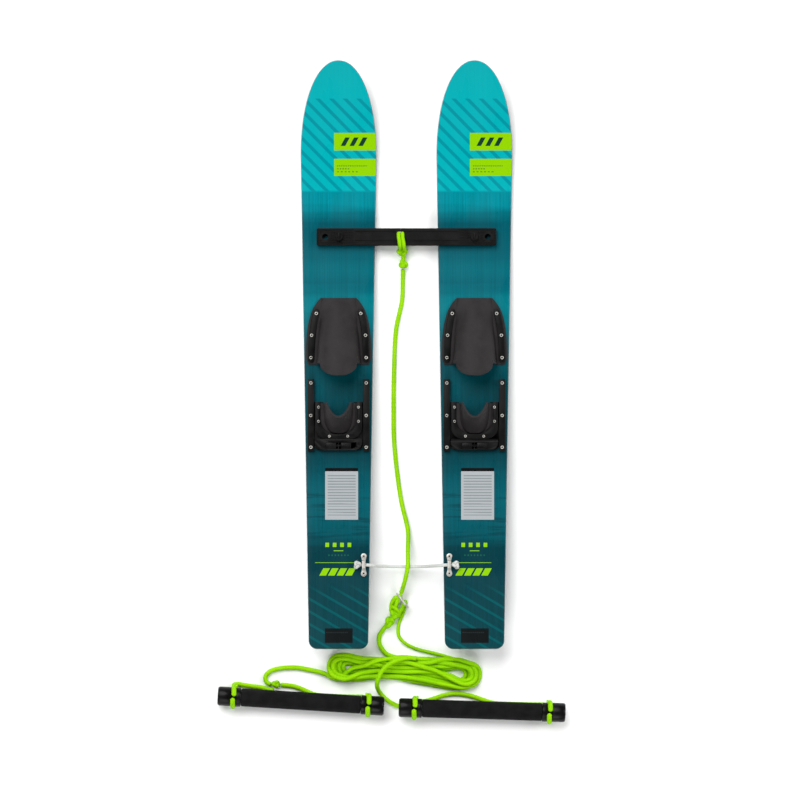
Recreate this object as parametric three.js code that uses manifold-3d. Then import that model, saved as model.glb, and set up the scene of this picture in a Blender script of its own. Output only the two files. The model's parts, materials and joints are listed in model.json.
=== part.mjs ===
// Learner's water ski pair: two short skis held side by side by a cross bar at the front and a line at
// the back, each with a rubber toe piece and a sliding heel piece, and a tow rope with two handles.
//
// Millimetres, +X to the right, +Y towards the ski tips, +Z up, standing on z = 0. The skis rest on
// their fins and on the curve of their bases, so everything fixed to them shares one tilted group.
import * as THREE from 'three';
import { mergeVertices } from 'three/addons/utils/BufferGeometryUtils.js';
import Module from 'manifold-3d';

const wasm = await Module();
wasm.setup();

// ---------------------------------------------------------------- driving dimensions
const GAP = 0.3;
const SKI_LENGTH = 1162;
const SKI_SPACING = 269;
const BOARD = {
  tailHalf: 59, frontHalf: 75, widestAt: 978, tipPower: 2.1, tailCorner: 17,
  thickness: 15, tailThickness: 9, tipThickness: 8, tailTaper: 130, tipTaperFrom: 850,
  rockerFrom: 800, rockerRise: 72.6,
  tunnelHalf: 32, tunnelDraft: 3, tunnelDepth: 3, tunnelEnd: 700,
};
const DECK = BOARD.thickness;
const FIN = { depth: 45, rear: 45, tipRear: 86, tipFront: 125, front: 188, thick: 5, flangeHalf: 12 };
const BAR = {
  length: 356, width: 34.3, height: 13, station: 815.8, knobAt: 134, spareAt: 161, hole: 6, chamfer: 2,
};
const GROOVE = { half: 104, offset: 9, width: 5, depth: 1.5 };
const BAR_BOTTOM = 15.9;
const BAR_TOP = BAR_BOTTOM + BAR.height;
const ROPE_HOLE = { x: -12, s: 819.4, radius: 7.5 };
const TOE = {
  front: 694, rear: 564, tongue: 26.2, tongueHalf: 36, wall: 4.5, flange: 3,
  height: 56, domeFront: 692, halfAt: 665, half: 35, flare: 0.082, archPower: 2.3,
};
const TOE_EDGE = [[28, 694], [37, 691], [50, 673], [57, 652], [61.5, 626], [63.2, 597], [63, 574], [59, 564]];
const STRIP = { width: 13, height: 4, front: [44, 667], bend: [54.6, 628], rear: [54.8, 573] };
const RAIL = { outer: 61.2, lip: 48.2, inner: 51.2, rear: 391, front: 534, height: 9, lipUnder: 5.6 };
const RACK = { first: 408, pitch: 11, count: 5, width: 7, depth: 2.6 };
const CARRIAGE = {
  flangeHalf: 50.7, half: 46.5, rear: 392.6, front: 488.5, corner: 16, flangeTop: 5.1, top: 6.3,
};
const HOUSING = { front: 415, top: 12.5, floor: 1.8, channelTop: 5.4, ribHalf: 0.6 };
const LATCH = { inner: 5, outer: 24.7, rear: 395.7, front: 407.5, armRear: 403, armFront: 412.9 };
const LATCH_Z = { low: 2.1, arm: 5, pad: 13.8 };
const CUP = { half: 30.6, rear: 422.5, front: 486, wall: 4.6, lean: 31.8, narrowing: 5.6, height: 62 };
const CLAMP = { inner: 36.7, rear: 415.6, thick: 3.2, corner: 22, innerCorner: 32 };
const HANDLE = {
  gripHalf: 118.7, gripRadius: 17.85, capRadius: 19, capInner: 119, end: 165,
  tubeRadius: 11, tubeBore: 9.4, tubeHalf: 150, lashing: 134, groove: 14.5,
};
const HANDLE_PLACES = {
  left: { place: [-209.1, -103.3, 23.9], heading: -0.0621, rise: 0 },
  right: { place: [149.7, -121.3, 26.1], heading: -0.0314, rise: 0.0156 },
};
const TOW_ROPE = 8.5;
const HANDLE_ROPE = 9;
const THIN_ROPE = 6.5;
const HANK_HEIGHT = 27;
const TETHER = {
  station: 166, sag: 42.5, plateAt: 84.6, knotAt: 97.5, knotRadius: 6.5, plateLength: 46, padHalf: 5.75,
  waistHalf: 3.5,
};

// The pair leans forward from the fins onto the curved base: the floor is the tangent from a fin's
// lowest corner to the rocker, which rises as the square of the distance from where it starts.
const rockerCurve = BOARD.rockerRise / (SKI_LENGTH - BOARD.rockerFrom) ** 2;
const finToRocker = BOARD.rockerFrom - FIN.tipFront;
const touchBeyondRocker = Math.sqrt(finToRocker ** 2 + FIN.depth / rockerCurve) - finToRocker;
const SLOPE = 2 * rockerCurve * touchBeyondRocker;
const TILT = Math.atan(SLOPE);
const LIFT = Math.cos(TILT) * (FIN.depth + FIN.tipFront * SLOPE);

// ---------------------------------------------------------------- solids and meshes
const vec = (x, y, z) => new THREE.Vector3(x, y, z);
const deckFrame = new THREE.Group();
const floorFrame = new THREE.Group();
deckFrame.rotation.x = -TILT;
deckFrame.position.z = LIFT;

function toSolid(geometry) {
  const bare = geometry.clone();
  bare.deleteAttribute('normal');
  bare.deleteAttribute('uv');
  const merged = mergeVertices(bare, 1e-4);
  const vertProperties = merged.attributes.position.array;
  const triVerts = new Uint32Array(merged.index.array);
  return new wasm.Manifold(new wasm.Mesh({ numProp: 3, vertProperties, triVerts }));
}

function toGeometry(solid) {
  const { vertProperties, triVerts } = solid.getMesh();
  const geometry = new THREE.BufferGeometry();
  geometry.setAttribute('position', new THREE.BufferAttribute(new Float32Array(vertProperties), 3));
  geometry.setIndex(new THREE.BufferAttribute(new Uint32Array(triVerts), 1));
  return geometry;
}

// A piece of the object: a closed geometry, or a solid from the cuts, with its own material.
function piece(parent, name, shape, [colour, roughness, metalness]) {
  const geometry = shape.isBufferGeometry ? shape : toGeometry(shape);
  const material = new THREE.MeshStandardMaterial({ color: colour, roughness, metalness });
  const mesh = new THREE.Mesh(geometry, material);
  mesh.name = name;
  parent.add(mesh);
  return mesh;
}

const FINISH = {
  deck: [0x007080, 0.32, 0], blackPlastic: [0x1f1f1e, 0.45, 0], rubber: [0x3b3939, 0.75, 0],
  steel: [0xb8bcbf, 0.3, 1], aluminium: [0xa9adb0, 0.4, 1], grip: [0x232322, 0.8, 0],
  gloss: [0x121212, 0.15, 0], lime: [0x8cdc00, 0.7, 0], white: [0xdedfdb, 0.7, 0],
};

// Two mirrored edges in rising order, whichever side of the ski they are on.
const across = (side, near, far) => [side * near, side * far].sort((a, b) => a - b);

// Prisms along the three axes. A plan shape is (x, s); a side shape is (s, z); a front shape is (x, z).
function prism(shape, low, high, curveSegments = 8) {
  const options = { depth: high - low, bevelEnabled: false, curveSegments };
  return new THREE.ExtrudeGeometry(shape, options).translate(0, 0, low);
}

function sidePrism(shape, left, right, curveSegments = 8) {
  const turned = new THREE.Matrix4().makeBasis(vec(0, 1, 0), vec(0, 0, 1), vec(1, 0, 0));
  return prism(shape, left, right, curveSegments).applyMatrix4(turned);
}

function frontPrism(shape, rear, front) {
  return prism(shape, 0, front - rear).rotateX(Math.PI / 2).translate(0, front, 0);
}

function polygon(points) {
  return new THREE.Shape(points.map(([x, y]) => new THREE.Vector2(x, y)));
}

function box(left, right, rear, front, low, high) {
  return prism(polygon([[left, rear], [right, rear], [right, front], [left, front]]), low, high);
}

// A plan outline open to the front, with two round rear corners: a plate, or a U when they meet.
function rearRounded(half, rear, front, radius) {
  const outline = new THREE.Shape();
  outline.moveTo(-half, front);
  outline.lineTo(-half, rear + radius);
  outline.absarc(radius - half, rear + radius, radius, Math.PI, 1.5 * Math.PI, false);
  outline.absarc(half - radius, rear + radius, radius, 1.5 * Math.PI, 2 * Math.PI, false);
  outline.lineTo(half, front);
  outline.closePath();
  return outline;
}

// Faces out: three corners of each triangle run the other way if the signed volume is negative.
function facesOut(geometry) {
  const index = geometry.index.array;
  const corner = (i) => new THREE.Vector3().fromBufferAttribute(geometry.attributes.position, index[i]);
  let volume = 0;
  for (let i = 0; i < index.length; i += 3) {
    volume += corner(i).dot(corner(i + 1).cross(corner(i + 2)));
  }
  if (volume < 0) {
    for (let i = 0; i < index.length; i += 3) {
      [index[i], index[i + 1]] = [index[i + 1], index[i]];
    }
  }
  return geometry;
}

// A closed body through rings of equal length. flat(point) is a ring's point in its cap's plane.
function loft(rings, flat) {
  const count = rings[0].length;
  const positions = rings.flat().flatMap((point) => point.toArray());
  const index = [];
  for (let ring = 0; ring < rings.length - 1; ring += 1) {
    for (let i = 0; i < count; i += 1) {
      const here = ring * count + i;
      const next = ring * count + (i + 1) % count;
      index.push(here, next, next + count, here, next + count, here + count);
    }
  }
  const capRing = (ring, reversed) => {
    const contour = rings[ring].map(flat);
    const ringWay = Math.sign(THREE.ShapeUtils.area(contour));
    for (const face of THREE.ShapeUtils.triangulateShape(contour, [])) {
      const faceWay = Math.sign(THREE.ShapeUtils.area(face.map((i) => contour[i])));
      const sameWay = (faceWay === ringWay) !== reversed;
      const ordered = sameWay ? face : [...face].reverse();
      index.push(...ordered.map((i) => ring * count + i));
    }
  };
  capRing(0, true);
  capRing(rings.length - 1, false);
  const geometry = new THREE.BufferGeometry();
  geometry.setAttribute('position', new THREE.Float32BufferAttribute(positions, 3));
  geometry.setIndex(index);
  return facesOut(geometry);
}

function ropeTube(points, diameter, sides = 8) {
  const path = new THREE.CatmullRomCurve3(points.map(([x, y, z]) => vec(x, y, z)), false, 'centripetal');
  const turns = [...Array(sides).keys()].map((i) => (2 * Math.PI * i) / sides);
  const radius = diameter / 2;
  const section = polygon(turns.map((turn) => [radius * Math.cos(turn), radius * Math.sin(turn)]));
  const steps = Math.max(4, Math.round(path.getLength() / (2.4 * diameter)));
  return new THREE.ExtrudeGeometry(section, { steps, bevelEnabled: false, extrudePath: path });
}

function knot(radii, place) {
  return new THREE.SphereGeometry(1, 12, 8).scale(...radii).translate(...place);
}

function lathe(profile, segments = 16) {
  const points = profile.map(([radius, along]) => new THREE.Vector2(radius, along));
  return new THREE.LatheGeometry(points, segments);
}

// ---------------------------------------------------------------- skis
const baseHeight = (s) => rockerCurve * Math.max(0, s - BOARD.rockerFrom) ** 2;

function thickness(s) {
  const tail = Math.min(1, s / BOARD.tailTaper);
  const tip = Math.max(0, (s - BOARD.tipTaperFrom) / (SKI_LENGTH - BOARD.tipTaperFrom));
  const tailPart = BOARD.tailThickness + (BOARD.thickness - BOARD.tailThickness) * tail;
  return tailPart - (BOARD.thickness - BOARD.tipThickness) * tip;
}

// Right-hand half of the plan outline, from the tail's middle to the tip: a round tail corner, a
// straight taper to the widest point, and a superelliptic tip.
function planEdge() {
  const edge = [];
  for (let step = 0; step <= 6; step += 1) {
    const turn = (Math.PI / 2) * (step / 6);
    const inward = BOARD.tailCorner * (1 - Math.sin(turn));
    edge.push([BOARD.tailHalf - inward, BOARD.tailCorner * (1 - Math.cos(turn))]);
  }
  const tipLength = SKI_LENGTH - BOARD.widestAt;
  for (let step = 0; step <= 14; step += 1) {
    const turn = (Math.PI / 2) * (step / 14);
    const half = BOARD.frontHalf * Math.cos(turn) ** (2 / BOARD.tipPower);
    edge.push([half, BOARD.widestAt + tipLength * Math.sin(turn) ** (2 / BOARD.tipPower)]);
  }
  return edge;
}

function boardSolid() {
  const right = planEdge();
  const left = right.slice(0, -1).reverse().map(([x, s]) => [-x, s]);
  const plan = prism(polygon([...right, ...left]), -10, 120);
  const stations = [0, BOARD.tailTaper, BOARD.rockerFrom];
  for (let step = 1; step <= 16; step += 1) {
    stations.push(BOARD.rockerFrom + (SKI_LENGTH - BOARD.rockerFrom) * (step / 16));
  }
  const under = stations.map((s) => [s, baseHeight(s)]);
  const over = [...stations].reverse().map((s) => [s, baseHeight(s) + thickness(s)]);
  const side = sidePrism(polygon([...under, ...over]), -100, 100);
  const { tunnelHalf, tunnelDraft, tunnelDepth, tunnelEnd } = BOARD;
  const mouth = tunnelHalf + tunnelDraft;
  const tunnelShape = [[-mouth, -1], [mouth, -1], [tunnelHalf, tunnelDepth], [-tunnelHalf, tunnelDepth]];
  const tunnel = frontPrism(polygon(tunnelShape), -5, tunnelEnd);
  return toSolid(plan).intersect(toSolid(side)).subtract(toSolid(tunnel));
}

// A swept blade on a flange that lies in the base's tunnel.
function finSolid() {
  const blade = new THREE.Shape();
  blade.moveTo(FIN.rear, 1);
  blade.lineTo(FIN.tipRear - 14, -FIN.depth + 12);
  blade.quadraticCurveTo(FIN.tipRear - 6, -FIN.depth, FIN.tipRear + 4, -FIN.depth);
  blade.lineTo(FIN.tipFront, -FIN.depth);
  blade.quadraticCurveTo(FIN.tipFront + 26, -FIN.depth + 24, FIN.front, 1);
  blade.closePath();
  const flangeTop = BOARD.tunnelDepth - GAP;
  const flange = box(-FIN.flangeHalf, FIN.flangeHalf, FIN.rear - 12, FIN.front + 12, 0, flangeTop);
  return toSolid(sidePrism(blade, -FIN.thick / 2, FIN.thick / 2)).add(toSolid(flange));
}

// ---------------------------------------------------------------- toe piece
// The dome's cross-sections are arches that grow from the toe to the instep.
function toeDome(inset) {
  const rings = [];
  const rear = TOE.rear - TOE.tongue - 6;
  const front = inset > 0 ? TOE.domeFront - 14 : TOE.domeFront;
  for (let step = 0; step <= 9; step += 1) {
    const s = rear + (front - rear) * (step / 9);
    const grown = (TOE.domeFront - s) / (TOE.domeFront - rear);
    const height = DECK + GAP + 4 + TOE.height * grown ** 0.8 - inset;
    const half = TOE.half + TOE.flare * (TOE.halfAt - s) - inset;
    const foot = inset > 0 ? DECK - 5 : DECK + GAP;
    const ring = [];
    for (let i = 0; i <= 12; i += 1) {
      const turn = (Math.PI * i) / 12;
      const across = Math.sign(Math.cos(turn)) * Math.abs(Math.cos(turn)) ** (2 / TOE.archPower);
      const up = Math.abs(Math.sin(turn)) ** (2 / TOE.archPower);
      ring.push(vec(half * across, s, foot + (height - foot) * up));
    }
    rings.push(ring);
  }
  return toSolid(loft(rings, (point) => new THREE.Vector2(point.x, point.z)));
}

function toeSolid() {
  const flangeEdge = new THREE.CatmullRomCurve3(TOE_EDGE.map(([x, s]) => vec(x, s, 0)));
  const right = flangeEdge.getPoints(18).map(({ x, y }) => [x, y]);
  const left = [...right].reverse().map(([x, y]) => [-x, y]);
  const flange = prism(polygon([...right, ...left].reverse()), DECK + GAP, DECK + GAP + TOE.flange);
  // The rear edge is straight at the sides and reaches back in a round tongue over the instep.
  const keep = new THREE.Shape();
  keep.moveTo(80, TOE.front + 10);
  keep.lineTo(-80, TOE.front + 10);
  keep.lineTo(-80, TOE.rear);
  keep.lineTo(-TOE.tongueHalf, TOE.rear);
  keep.absellipse(0, TOE.rear, TOE.tongueHalf, TOE.tongue, Math.PI, 2 * Math.PI, false, 0);
  keep.lineTo(80, TOE.rear);
  keep.closePath();
  const trimmed = toeDome(0).intersect(toSolid(prism(keep, 0, 120, 12)));
  return trimmed.add(toSolid(flange)).subtract(toeDome(TOE.wall));
}

// A clamping strip curves along the flange, outside the dome, with round ends.
function stripSolid(side) {
  const guides = [STRIP.front, STRIP.bend, STRIP.rear].map(([x, s]) => new THREE.Vector2(side * x, s));
  const middle = new THREE.QuadraticBezierCurve(...guides);
  const half = STRIP.width / 2;
  const edge = (offset) => [...Array(9).keys()].map((i) => {
    const at = middle.getPoint(i / 8);
    const along = middle.getTangent(i / 8);
    return [at.x - along.y * offset, at.y + along.x * offset];
  });
  const end = (t, startAngle) => [1, 2, 3, 4].map((i) => {
    const at = middle.getPoint(t);
    const along = middle.getTangent(t);
    const turn = Math.atan2(along.y, along.x) + startAngle - (Math.PI * i) / 5;
    return [at.x + half * Math.cos(turn), at.y + half * Math.sin(turn)];
  });
  const outline = [...edge(half), ...end(1, Math.PI / 2), ...edge(-half).reverse(), ...end(0, 1.5 * Math.PI)];
  const bottom = DECK + 2 * GAP + TOE.flange;
  return prism(polygon(outline), bottom, bottom + STRIP.height);
}

// ---------------------------------------------------------------- heel unit
// A rail's lip holds the carriage's flange down; notches under the lip are the size adjustment's rack.
function railSolid(side) {
  const floor = DECK + GAP;
  const section = polygon([
    [side * RAIL.outer, floor], [side * RAIL.outer, floor + RAIL.height],
    [side * RAIL.lip, floor + RAIL.height], [side * RAIL.lip, DECK + RAIL.lipUnder],
    [side * RAIL.inner, DECK + RAIL.lipUnder], [side * RAIL.inner, floor],
  ]);
  let rail = toSolid(frontPrism(section, RAIL.rear, RAIL.front));
  for (let notch = 0; notch < RACK.count; notch += 1) {
    const rear = RACK.first + notch * RACK.pitch - RACK.width / 2;
    const edges = across(side, RAIL.inner - 1, RAIL.inner + RACK.depth);
    const cut = box(...edges, rear, rear + RACK.width, DECK - 1, DECK + RAIL.lipUnder);
    rail = rail.subtract(toSolid(cut));
  }
  return rail;
}

function carriageSolid() {
  const { half, flangeHalf, rear, front, corner, top } = CARRIAGE;
  const { channelTop, ribHalf } = HOUSING;
  const floor = DECK + HOUSING.floor;
  const flange = prism(rearRounded(flangeHalf, rear, front, corner), DECK + 0.5, DECK + CARRIAGE.flangeTop);
  const body = prism(rearRounded(half, rear, front, corner), DECK + CARRIAGE.flangeTop - 0.1, DECK + top);
  const housing = prism(rearRounded(half, rear, HOUSING.front, corner), DECK + top - 0.1, DECK + HOUSING.top);
  const well = prism(rearRounded(CUP.half + GAP, CUP.rear - GAP, front + 5, CUP.half + GAP), 0, 60);
  let solid = toSolid(flange).add(toSolid(body)).add(toSolid(housing)).subtract(toSolid(well));
  for (const side of [-1, 1]) {
    const windowEdges = across(side, ribHalf, LATCH.outer + 0.5);
    const window = box(...windowEdges, LATCH.rear - 0.5, LATCH.front + 0.5, floor, 60);
    const armEdges = across(side, ribHalf, flangeHalf + 20);
    const channel = box(...armEdges, LATCH.armRear - 0.4, LATCH.armFront + 0.4, floor, DECK + channelTop);
    solid = solid.subtract(toSolid(window)).subtract(toSolid(channel));
  }
  return solid;
}

// A thumb button on an arm whose nose reaches out to the rail's rack.
function latchSolid(side) {
  const nose = CARRIAGE.flangeHalf;
  const shoulder = nose - 6.7;
  const arm = polygon([
    [side * LATCH.inner, LATCH.armRear], [side * shoulder, LATCH.armRear], [side * nose, RACK.first - 3],
    [side * nose, RACK.first + 3], [side * shoulder, LATCH.armFront], [side * LATCH.inner, LATCH.armFront],
  ]);
  const edges = across(side, LATCH.inner, LATCH.outer);
  const pad = box(...edges, LATCH.rear, LATCH.front, DECK + LATCH_Z.low, DECK + LATCH_Z.pad);
  return toSolid(prism(arm, DECK + LATCH_Z.low, DECK + LATCH_Z.arm)).add(toSolid(pad));
}

// The cup's wall is a U in plan that leans forward and narrows as it rises; its top slopes down forward.
function cupRing(level, inset) {
  const half = CUP.half - CUP.narrowing * level - inset;
  const rear = CUP.rear + CUP.lean * level ** 1.2 + inset;
  const ring = [];
  for (let i = 0; i <= 10; i += 1) {
    const turn = Math.PI + (Math.PI * i) / 10;
    const x = half * Math.cos(turn);
    const s = rear + half + half * Math.sin(turn);
    ring.push([x, s]);
  }
  const front = CUP.front - 4 * level;
  return [[-half, front], ...ring, [half, front]];
}

function cupSolid() {
  const rings = [];
  for (let step = 0; step <= 5; step += 1) {
    const level = step / 5;
    const plan = [...cupRing(level, 0), ...cupRing(level, CUP.wall).reverse()];
    rings.push(plan.map(([x, s]) => {
      const drop = 0.45 * Math.max(0, s - CUP.rear - CUP.lean);
      return vec(x, s, DECK + 0.5 + level * (CUP.height - drop));
    }));
  }
  const wall = loft(rings, (point) => new THREE.Vector2(point.x, point.y));
  const low = DECK + CARRIAGE.top + GAP;
  const flangePlan = rearRounded(44, HOUSING.front + 1, CUP.front, 26);
  const inside = rearRounded(CUP.half - 3, CUP.rear + 3, CUP.front + 5, CUP.half - 3);
  const flange = toSolid(prism(flangePlan, low, low + 3)).subtract(toSolid(prism(inside, 0, 60)));
  return toSolid(wall).add(flange);
}

function clampSolid() {
  const low = DECK + CARRIAGE.top + 3 + 2 * GAP;
  const outside = rearRounded(CARRIAGE.half - 0.5, CLAMP.rear, CARRIAGE.front, CLAMP.corner);
  const inside = rearRounded(CLAMP.inner, CUP.rear + 2, CARRIAGE.front + 5, CLAMP.innerCorner);
  return toSolid(prism(outside, low, low + CLAMP.thick)).subtract(toSolid(prism(inside, 0, 60)));
}

// ---------------------------------------------------------------- bar and its fixings
function disc(shape, x, y, radius) {
  const hole = new THREE.Path();
  hole.absarc(x, y, radius, 0, 2 * Math.PI, true);
  shape.holes.push(hole);
}

function barSolid() {
  const half = BAR.length / 2;
  const rear = BAR.station - BAR.width / 2;
  const front = BAR.station + BAR.width / 2;
  const inward = half - BAR.chamfer;
  const plan = polygon([
    [-inward, rear], [inward, rear], [half, rear + BAR.chamfer], [half, front - BAR.chamfer],
    [inward, front], [-inward, front], [-half, front - BAR.chamfer], [-half, rear + BAR.chamfer],
  ]);
  for (const side of [-1, 1]) {
    disc(plan, side * BAR.knobAt, BAR.station, BAR.hole);
    disc(plan, side * BAR.spareAt, BAR.station, BAR.hole);
  }
  disc(plan, ROPE_HOLE.x, ROPE_HOLE.s, ROPE_HOLE.radius);
  let bar = toSolid(prism(plan, BAR_BOTTOM, BAR_TOP, 10));
  for (const side of [-1, 1]) {
    const near = BAR.station + side * GROOVE.offset - GROOVE.width / 2;
    const groove = box(-GROOVE.half, GROOVE.half, near, near + GROOVE.width, BAR_TOP - GROOVE.depth, 60);
    bar = bar.subtract(toSolid(groove));
  }
  return bar;
}

// Stud: a shoulder in the bar's hole and a post for the knob. Its foot stands on the ski's deck.
function studGeometry() {
  const foot = DECK + baseHeight(BAR.station) + 2 * GAP;
  const shoulder = foot + 9;
  const top = BAR_TOP + 5;
  const profile = [[0, foot], [5.6, foot], [5.6, shoulder], [3.5, shoulder], [3.5, top], [0, top]];
  return lathe(profile).rotateX(Math.PI / 2).translate(0, BAR.station, 0);
}

// Knob: a round cap with a finger wing, and a blind bore over the stud's post.
function knobSolid() {
  const low = BAR_TOP + GAP;
  const boreTop = BAR_TOP + 5.4;
  const profile = [
    [3.9, low], [8.5, low], [8.5, low + 5], [7.5, low + 6.5], [0, low + 6.5], [0, boreTop], [3.9, boreTop],
    [3.9, low],
  ];
  const cap = lathe(profile).rotateX(Math.PI / 2).translate(0, BAR.station, 0);
  const wing = box(-2.2, 2.2, BAR.station - 8, BAR.station + 8, low + 6, low + 12);
  return toSolid(cap).add(toSolid(wing));
}

// The rope's eye: up through the bar, back over its rear edge, and closed under it by a knot.
const BAR_LOOP = [
  [-8, 772, 7], [-15, 783, 13], [-17.5, 790, 23], [-16.8, 793, 32], [-15.5, 800, 37], [-13.5, 809, 37.5],
  [-12, 817.5, 33], [-12, 819.6, 22], [-11.5, 818, 12], [-7, 810, 6.5], [-1, 800, 5.5], [1.5, 788, 6],
  [-3, 776, 6.5], [-6, 768, 7],
];
const LOOP_KNOT = { radii: [10, 10.5, 7.5], place: [-6, 764, 7] };

function barLoopSolid() {
  return toSolid(ropeTube(BAR_LOOP, TOW_ROPE)).add(toSolid(knot(LOOP_KNOT.radii, LOOP_KNOT.place)));
}

// ---------------------------------------------------------------- rear line
// An eye strap: two screw pads on the deck joined by a raised waist that the line passes under.
function linePlateSolid() {
  const { station, plateLength, padHalf, waistHalf } = TETHER;
  const end = plateLength / 2;
  const low = DECK + GAP;
  const padTop = low + 2.5;
  const side = polygon([
    [station - end, low], [station - 8, low], [station - 5.5, low + 7.1], [station + 5.5, low + 7.1],
    [station + 8, low], [station + end, low], [station + end, padTop], [station + 11, padTop],
    [station + 6.5, low + 9.7], [station - 6.5, low + 9.7], [station - 11, padTop], [station - end, padTop],
  ]);
  const plan = new THREE.Shape();
  plan.absarc(0, station + end - padHalf, padHalf, 0, Math.PI, false);
  plan.quadraticCurveTo(-waistHalf + 0.5, station + 9, -waistHalf, station);
  plan.quadraticCurveTo(-waistHalf + 0.5, station - 9, -padHalf, station - end + padHalf);
  plan.absarc(0, station - end + padHalf, padHalf, Math.PI, 2 * Math.PI, false);
  plan.quadraticCurveTo(waistHalf - 0.5, station - 9, waistHalf, station);
  plan.quadraticCurveTo(waistHalf - 0.5, station + 9, padHalf, station + end - padHalf);
  return toSolid(sidePrism(side, -8, 8)).intersect(toSolid(prism(plan, 0, 60, 6)));
}

// ---------------------------------------------------------------- handles
const alongX = (geometry) => geometry.rotateZ(-Math.PI / 2);

function gripGeometry() {
  const { gripHalf, gripRadius, tubeRadius } = HANDLE;
  const bore = tubeRadius + GAP;
  return alongX(lathe([[bore, -gripHalf], [gripRadius - 1, -gripHalf], [gripRadius, 2 - gripHalf],
    [gripRadius, gripHalf - 2], [gripRadius - 1, gripHalf], [bore, gripHalf], [bore, -gripHalf]]));
}

function handleTubeGeometry() {
  const { tubeRadius, tubeBore, tubeHalf } = HANDLE;
  return alongX(lathe([[tubeBore, -tubeHalf], [tubeRadius, -tubeHalf], [tubeRadius, tubeHalf],
    [tubeBore, tubeHalf], [tubeBore, -tubeHalf]]));
}

// An end cap with a groove for the rope's lashing and a blind bore over the handle's tube.
function capGeometry(side) {
  const { capInner, capRadius, end, groove, lashing, tubeRadius, tubeHalf } = HANDLE;
  const bore = tubeRadius + GAP;
  const half = HANDLE_ROPE / 2 + 0.5;
  const cap = alongX(lathe([
    [0, tubeHalf + 1], [bore, tubeHalf + 1], [bore, capInner], [capRadius - 1, capInner],
    [capRadius, capInner + 1.5], [capRadius, lashing - half], [groove, lashing - half + 0.2],
    [groove, lashing + half - 0.2], [capRadius, lashing + half], [capRadius, end - 3],
    [capRadius - 3, end], [0, end],
  ]));
  return side < 0 ? cap.rotateY(Math.PI) : cap;
}

function lashingGeometry(side) {
  const ring = new THREE.TorusGeometry(HANDLE.groove + GAP + HANDLE_ROPE / 2, HANDLE_ROPE / 2, 6, 20);
  return ring.rotateY(Math.PI / 2).translate(side * HANDLE.lashing, 0, 0);
}

function addHandle(name, place, heading, rise) {
  const handle = new THREE.Group();
  handle.position.set(...place);
  handle.rotation.set(0, rise, heading, 'ZYX');
  floorFrame.add(handle);
  piece(handle, `${name}_handle_tube`, handleTubeGeometry(), FINISH.aluminium);
  piece(handle, `${name}_handle_grip`, gripGeometry(), FINISH.grip);
  for (const [end, side] of [['left', -1], ['right', 1]]) {
    piece(handle, `${name}_handle_${end}_cap`, capGeometry(side), FINISH.gloss);
    piece(handle, `${name}_handle_${end}_lashing`, lashingGeometry(side), FINISH.lime);
  }
}

// ---------------------------------------------------------------- tow rope, lying on the floor
const TOW_LINE = [
  [-6.9, 753, 7.2], [-7.4, 735, 5], [-8.9, 691, 4.4], [-20.8, 631.6, 4.4], [-24.8, 552.3, 4.4],
  [-25.8, 473, 4.4], [-24.8, 413.5, 4.4], [-16.9, 334.1, 4.4], [-9, 285, 4.8], [2.5, 235, 9],
  [2.5, 195.3, 19], [2.2, 162, 26.6], [-3, 135.8, 22.5], [-8, 118, 15.5], [-11.3, 108.6, 12.5],
];
const RING = { place: [-8.1, 95.5, 19.6], radius: 17.4, wire: 2.1, heading: Math.atan2(-30.7, 24.2) };
const KNOT_LINE = [
  [-43, 42.4, 6.5], [-47.5, 36, 4.8], [-54.5, 25, 4.6], [-54.3, 9.5, 4.6], [-48, -1.5, 5.5],
  [-40.5, -10.5, 7],
];
const THIN_LINE = [
  [-4.6, 75.5, 5.5], [-10.5, 62, 3.5], [-16.5, 44, 3.4], [-16, 26.5, 3.4], [-5.6, 12.9, 3.4],
  [10.9, 3, 3.4], [31.9, -4, 3.4], [46, -7.2, 4], [56, -9.5, 5],
];
const HANK_OUTLINE = [
  [-161.6, -34.7], [-145.8, -9.9], [-122, -6.9], [-88.2, -14.9], [-48.6, -16.9], [-10.9, -12],
  [26.8, -15.9], [76.3, -16.5], [106, -17.8], [135.8, -26.8], [153.7, -44.6], [155.7, -58.5],
  [139.8, -75.5], [110, -83], [76.3, -81.5], [26.8, -72.4], [-22.8, -61.5], [-48.6, -59.5],
  [-82.3, -64.4], [-122, -66.4], [-145.8, -58.5],
];
const LEFT_LEAD = [
  [-161.5, -49.5, 5.5], [-172, -46.5, 4.8], [-189.4, -42.6, 4.6], [-219.7, -37.5, 4.6],
  [-252.8, -40.1, 4.6], [-271, -48, 4.6], [-277.8, -58.5, 4.6], [-274.5, -67, 5.5], [-267.8, -70.2, 7],
];
const BRIDLE_KNOT = [-259, -70.4, 8];
const LEFT_BRIDLE_NEAR = [
  [-343, -75.5, 8.6], [-341.5, -71.6, 5.4], [-335, -70.2, 4.6], [-324, -71.8, 4.6],
  [-308.4, -74.2, 4.6], [-290, -76.5, 4.6], [-276, -80, 4.6], [-268.5, -82, 5], [-263, -80, 6.5],
];
const LEFT_BRIDLE_FAR = [
  [-250.2, -71.6, 7], [-240, -72.3, 4.8], [-219.7, -75.6, 4.6], [-199.5, -83.5, 4.6],
  [-182, -90.8, 4.6], [-150, -93.6, 4.6], [-118, -95.2, 4.6], [-95, -95.3, 4.6], [-81, -95.8, 4.6],
];
const RIGHT_LEAD = [
  [-13.9, -20.8, 31.8], [-39.3, -33.7, 32], [-51.8, -49, 32.4], [-57, -61.5, 32], [-58.5, -70, 26],
  [-57.5, -77.5, 17.5], [-54, -85.5, 9.5], [-48, -93, 5.4], [-39, -101.5, 4.6], [-24, -110.9, 4.6],
  [-8, -116.2, 4.6], [10.6, -117.6, 4.6],
];
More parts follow.
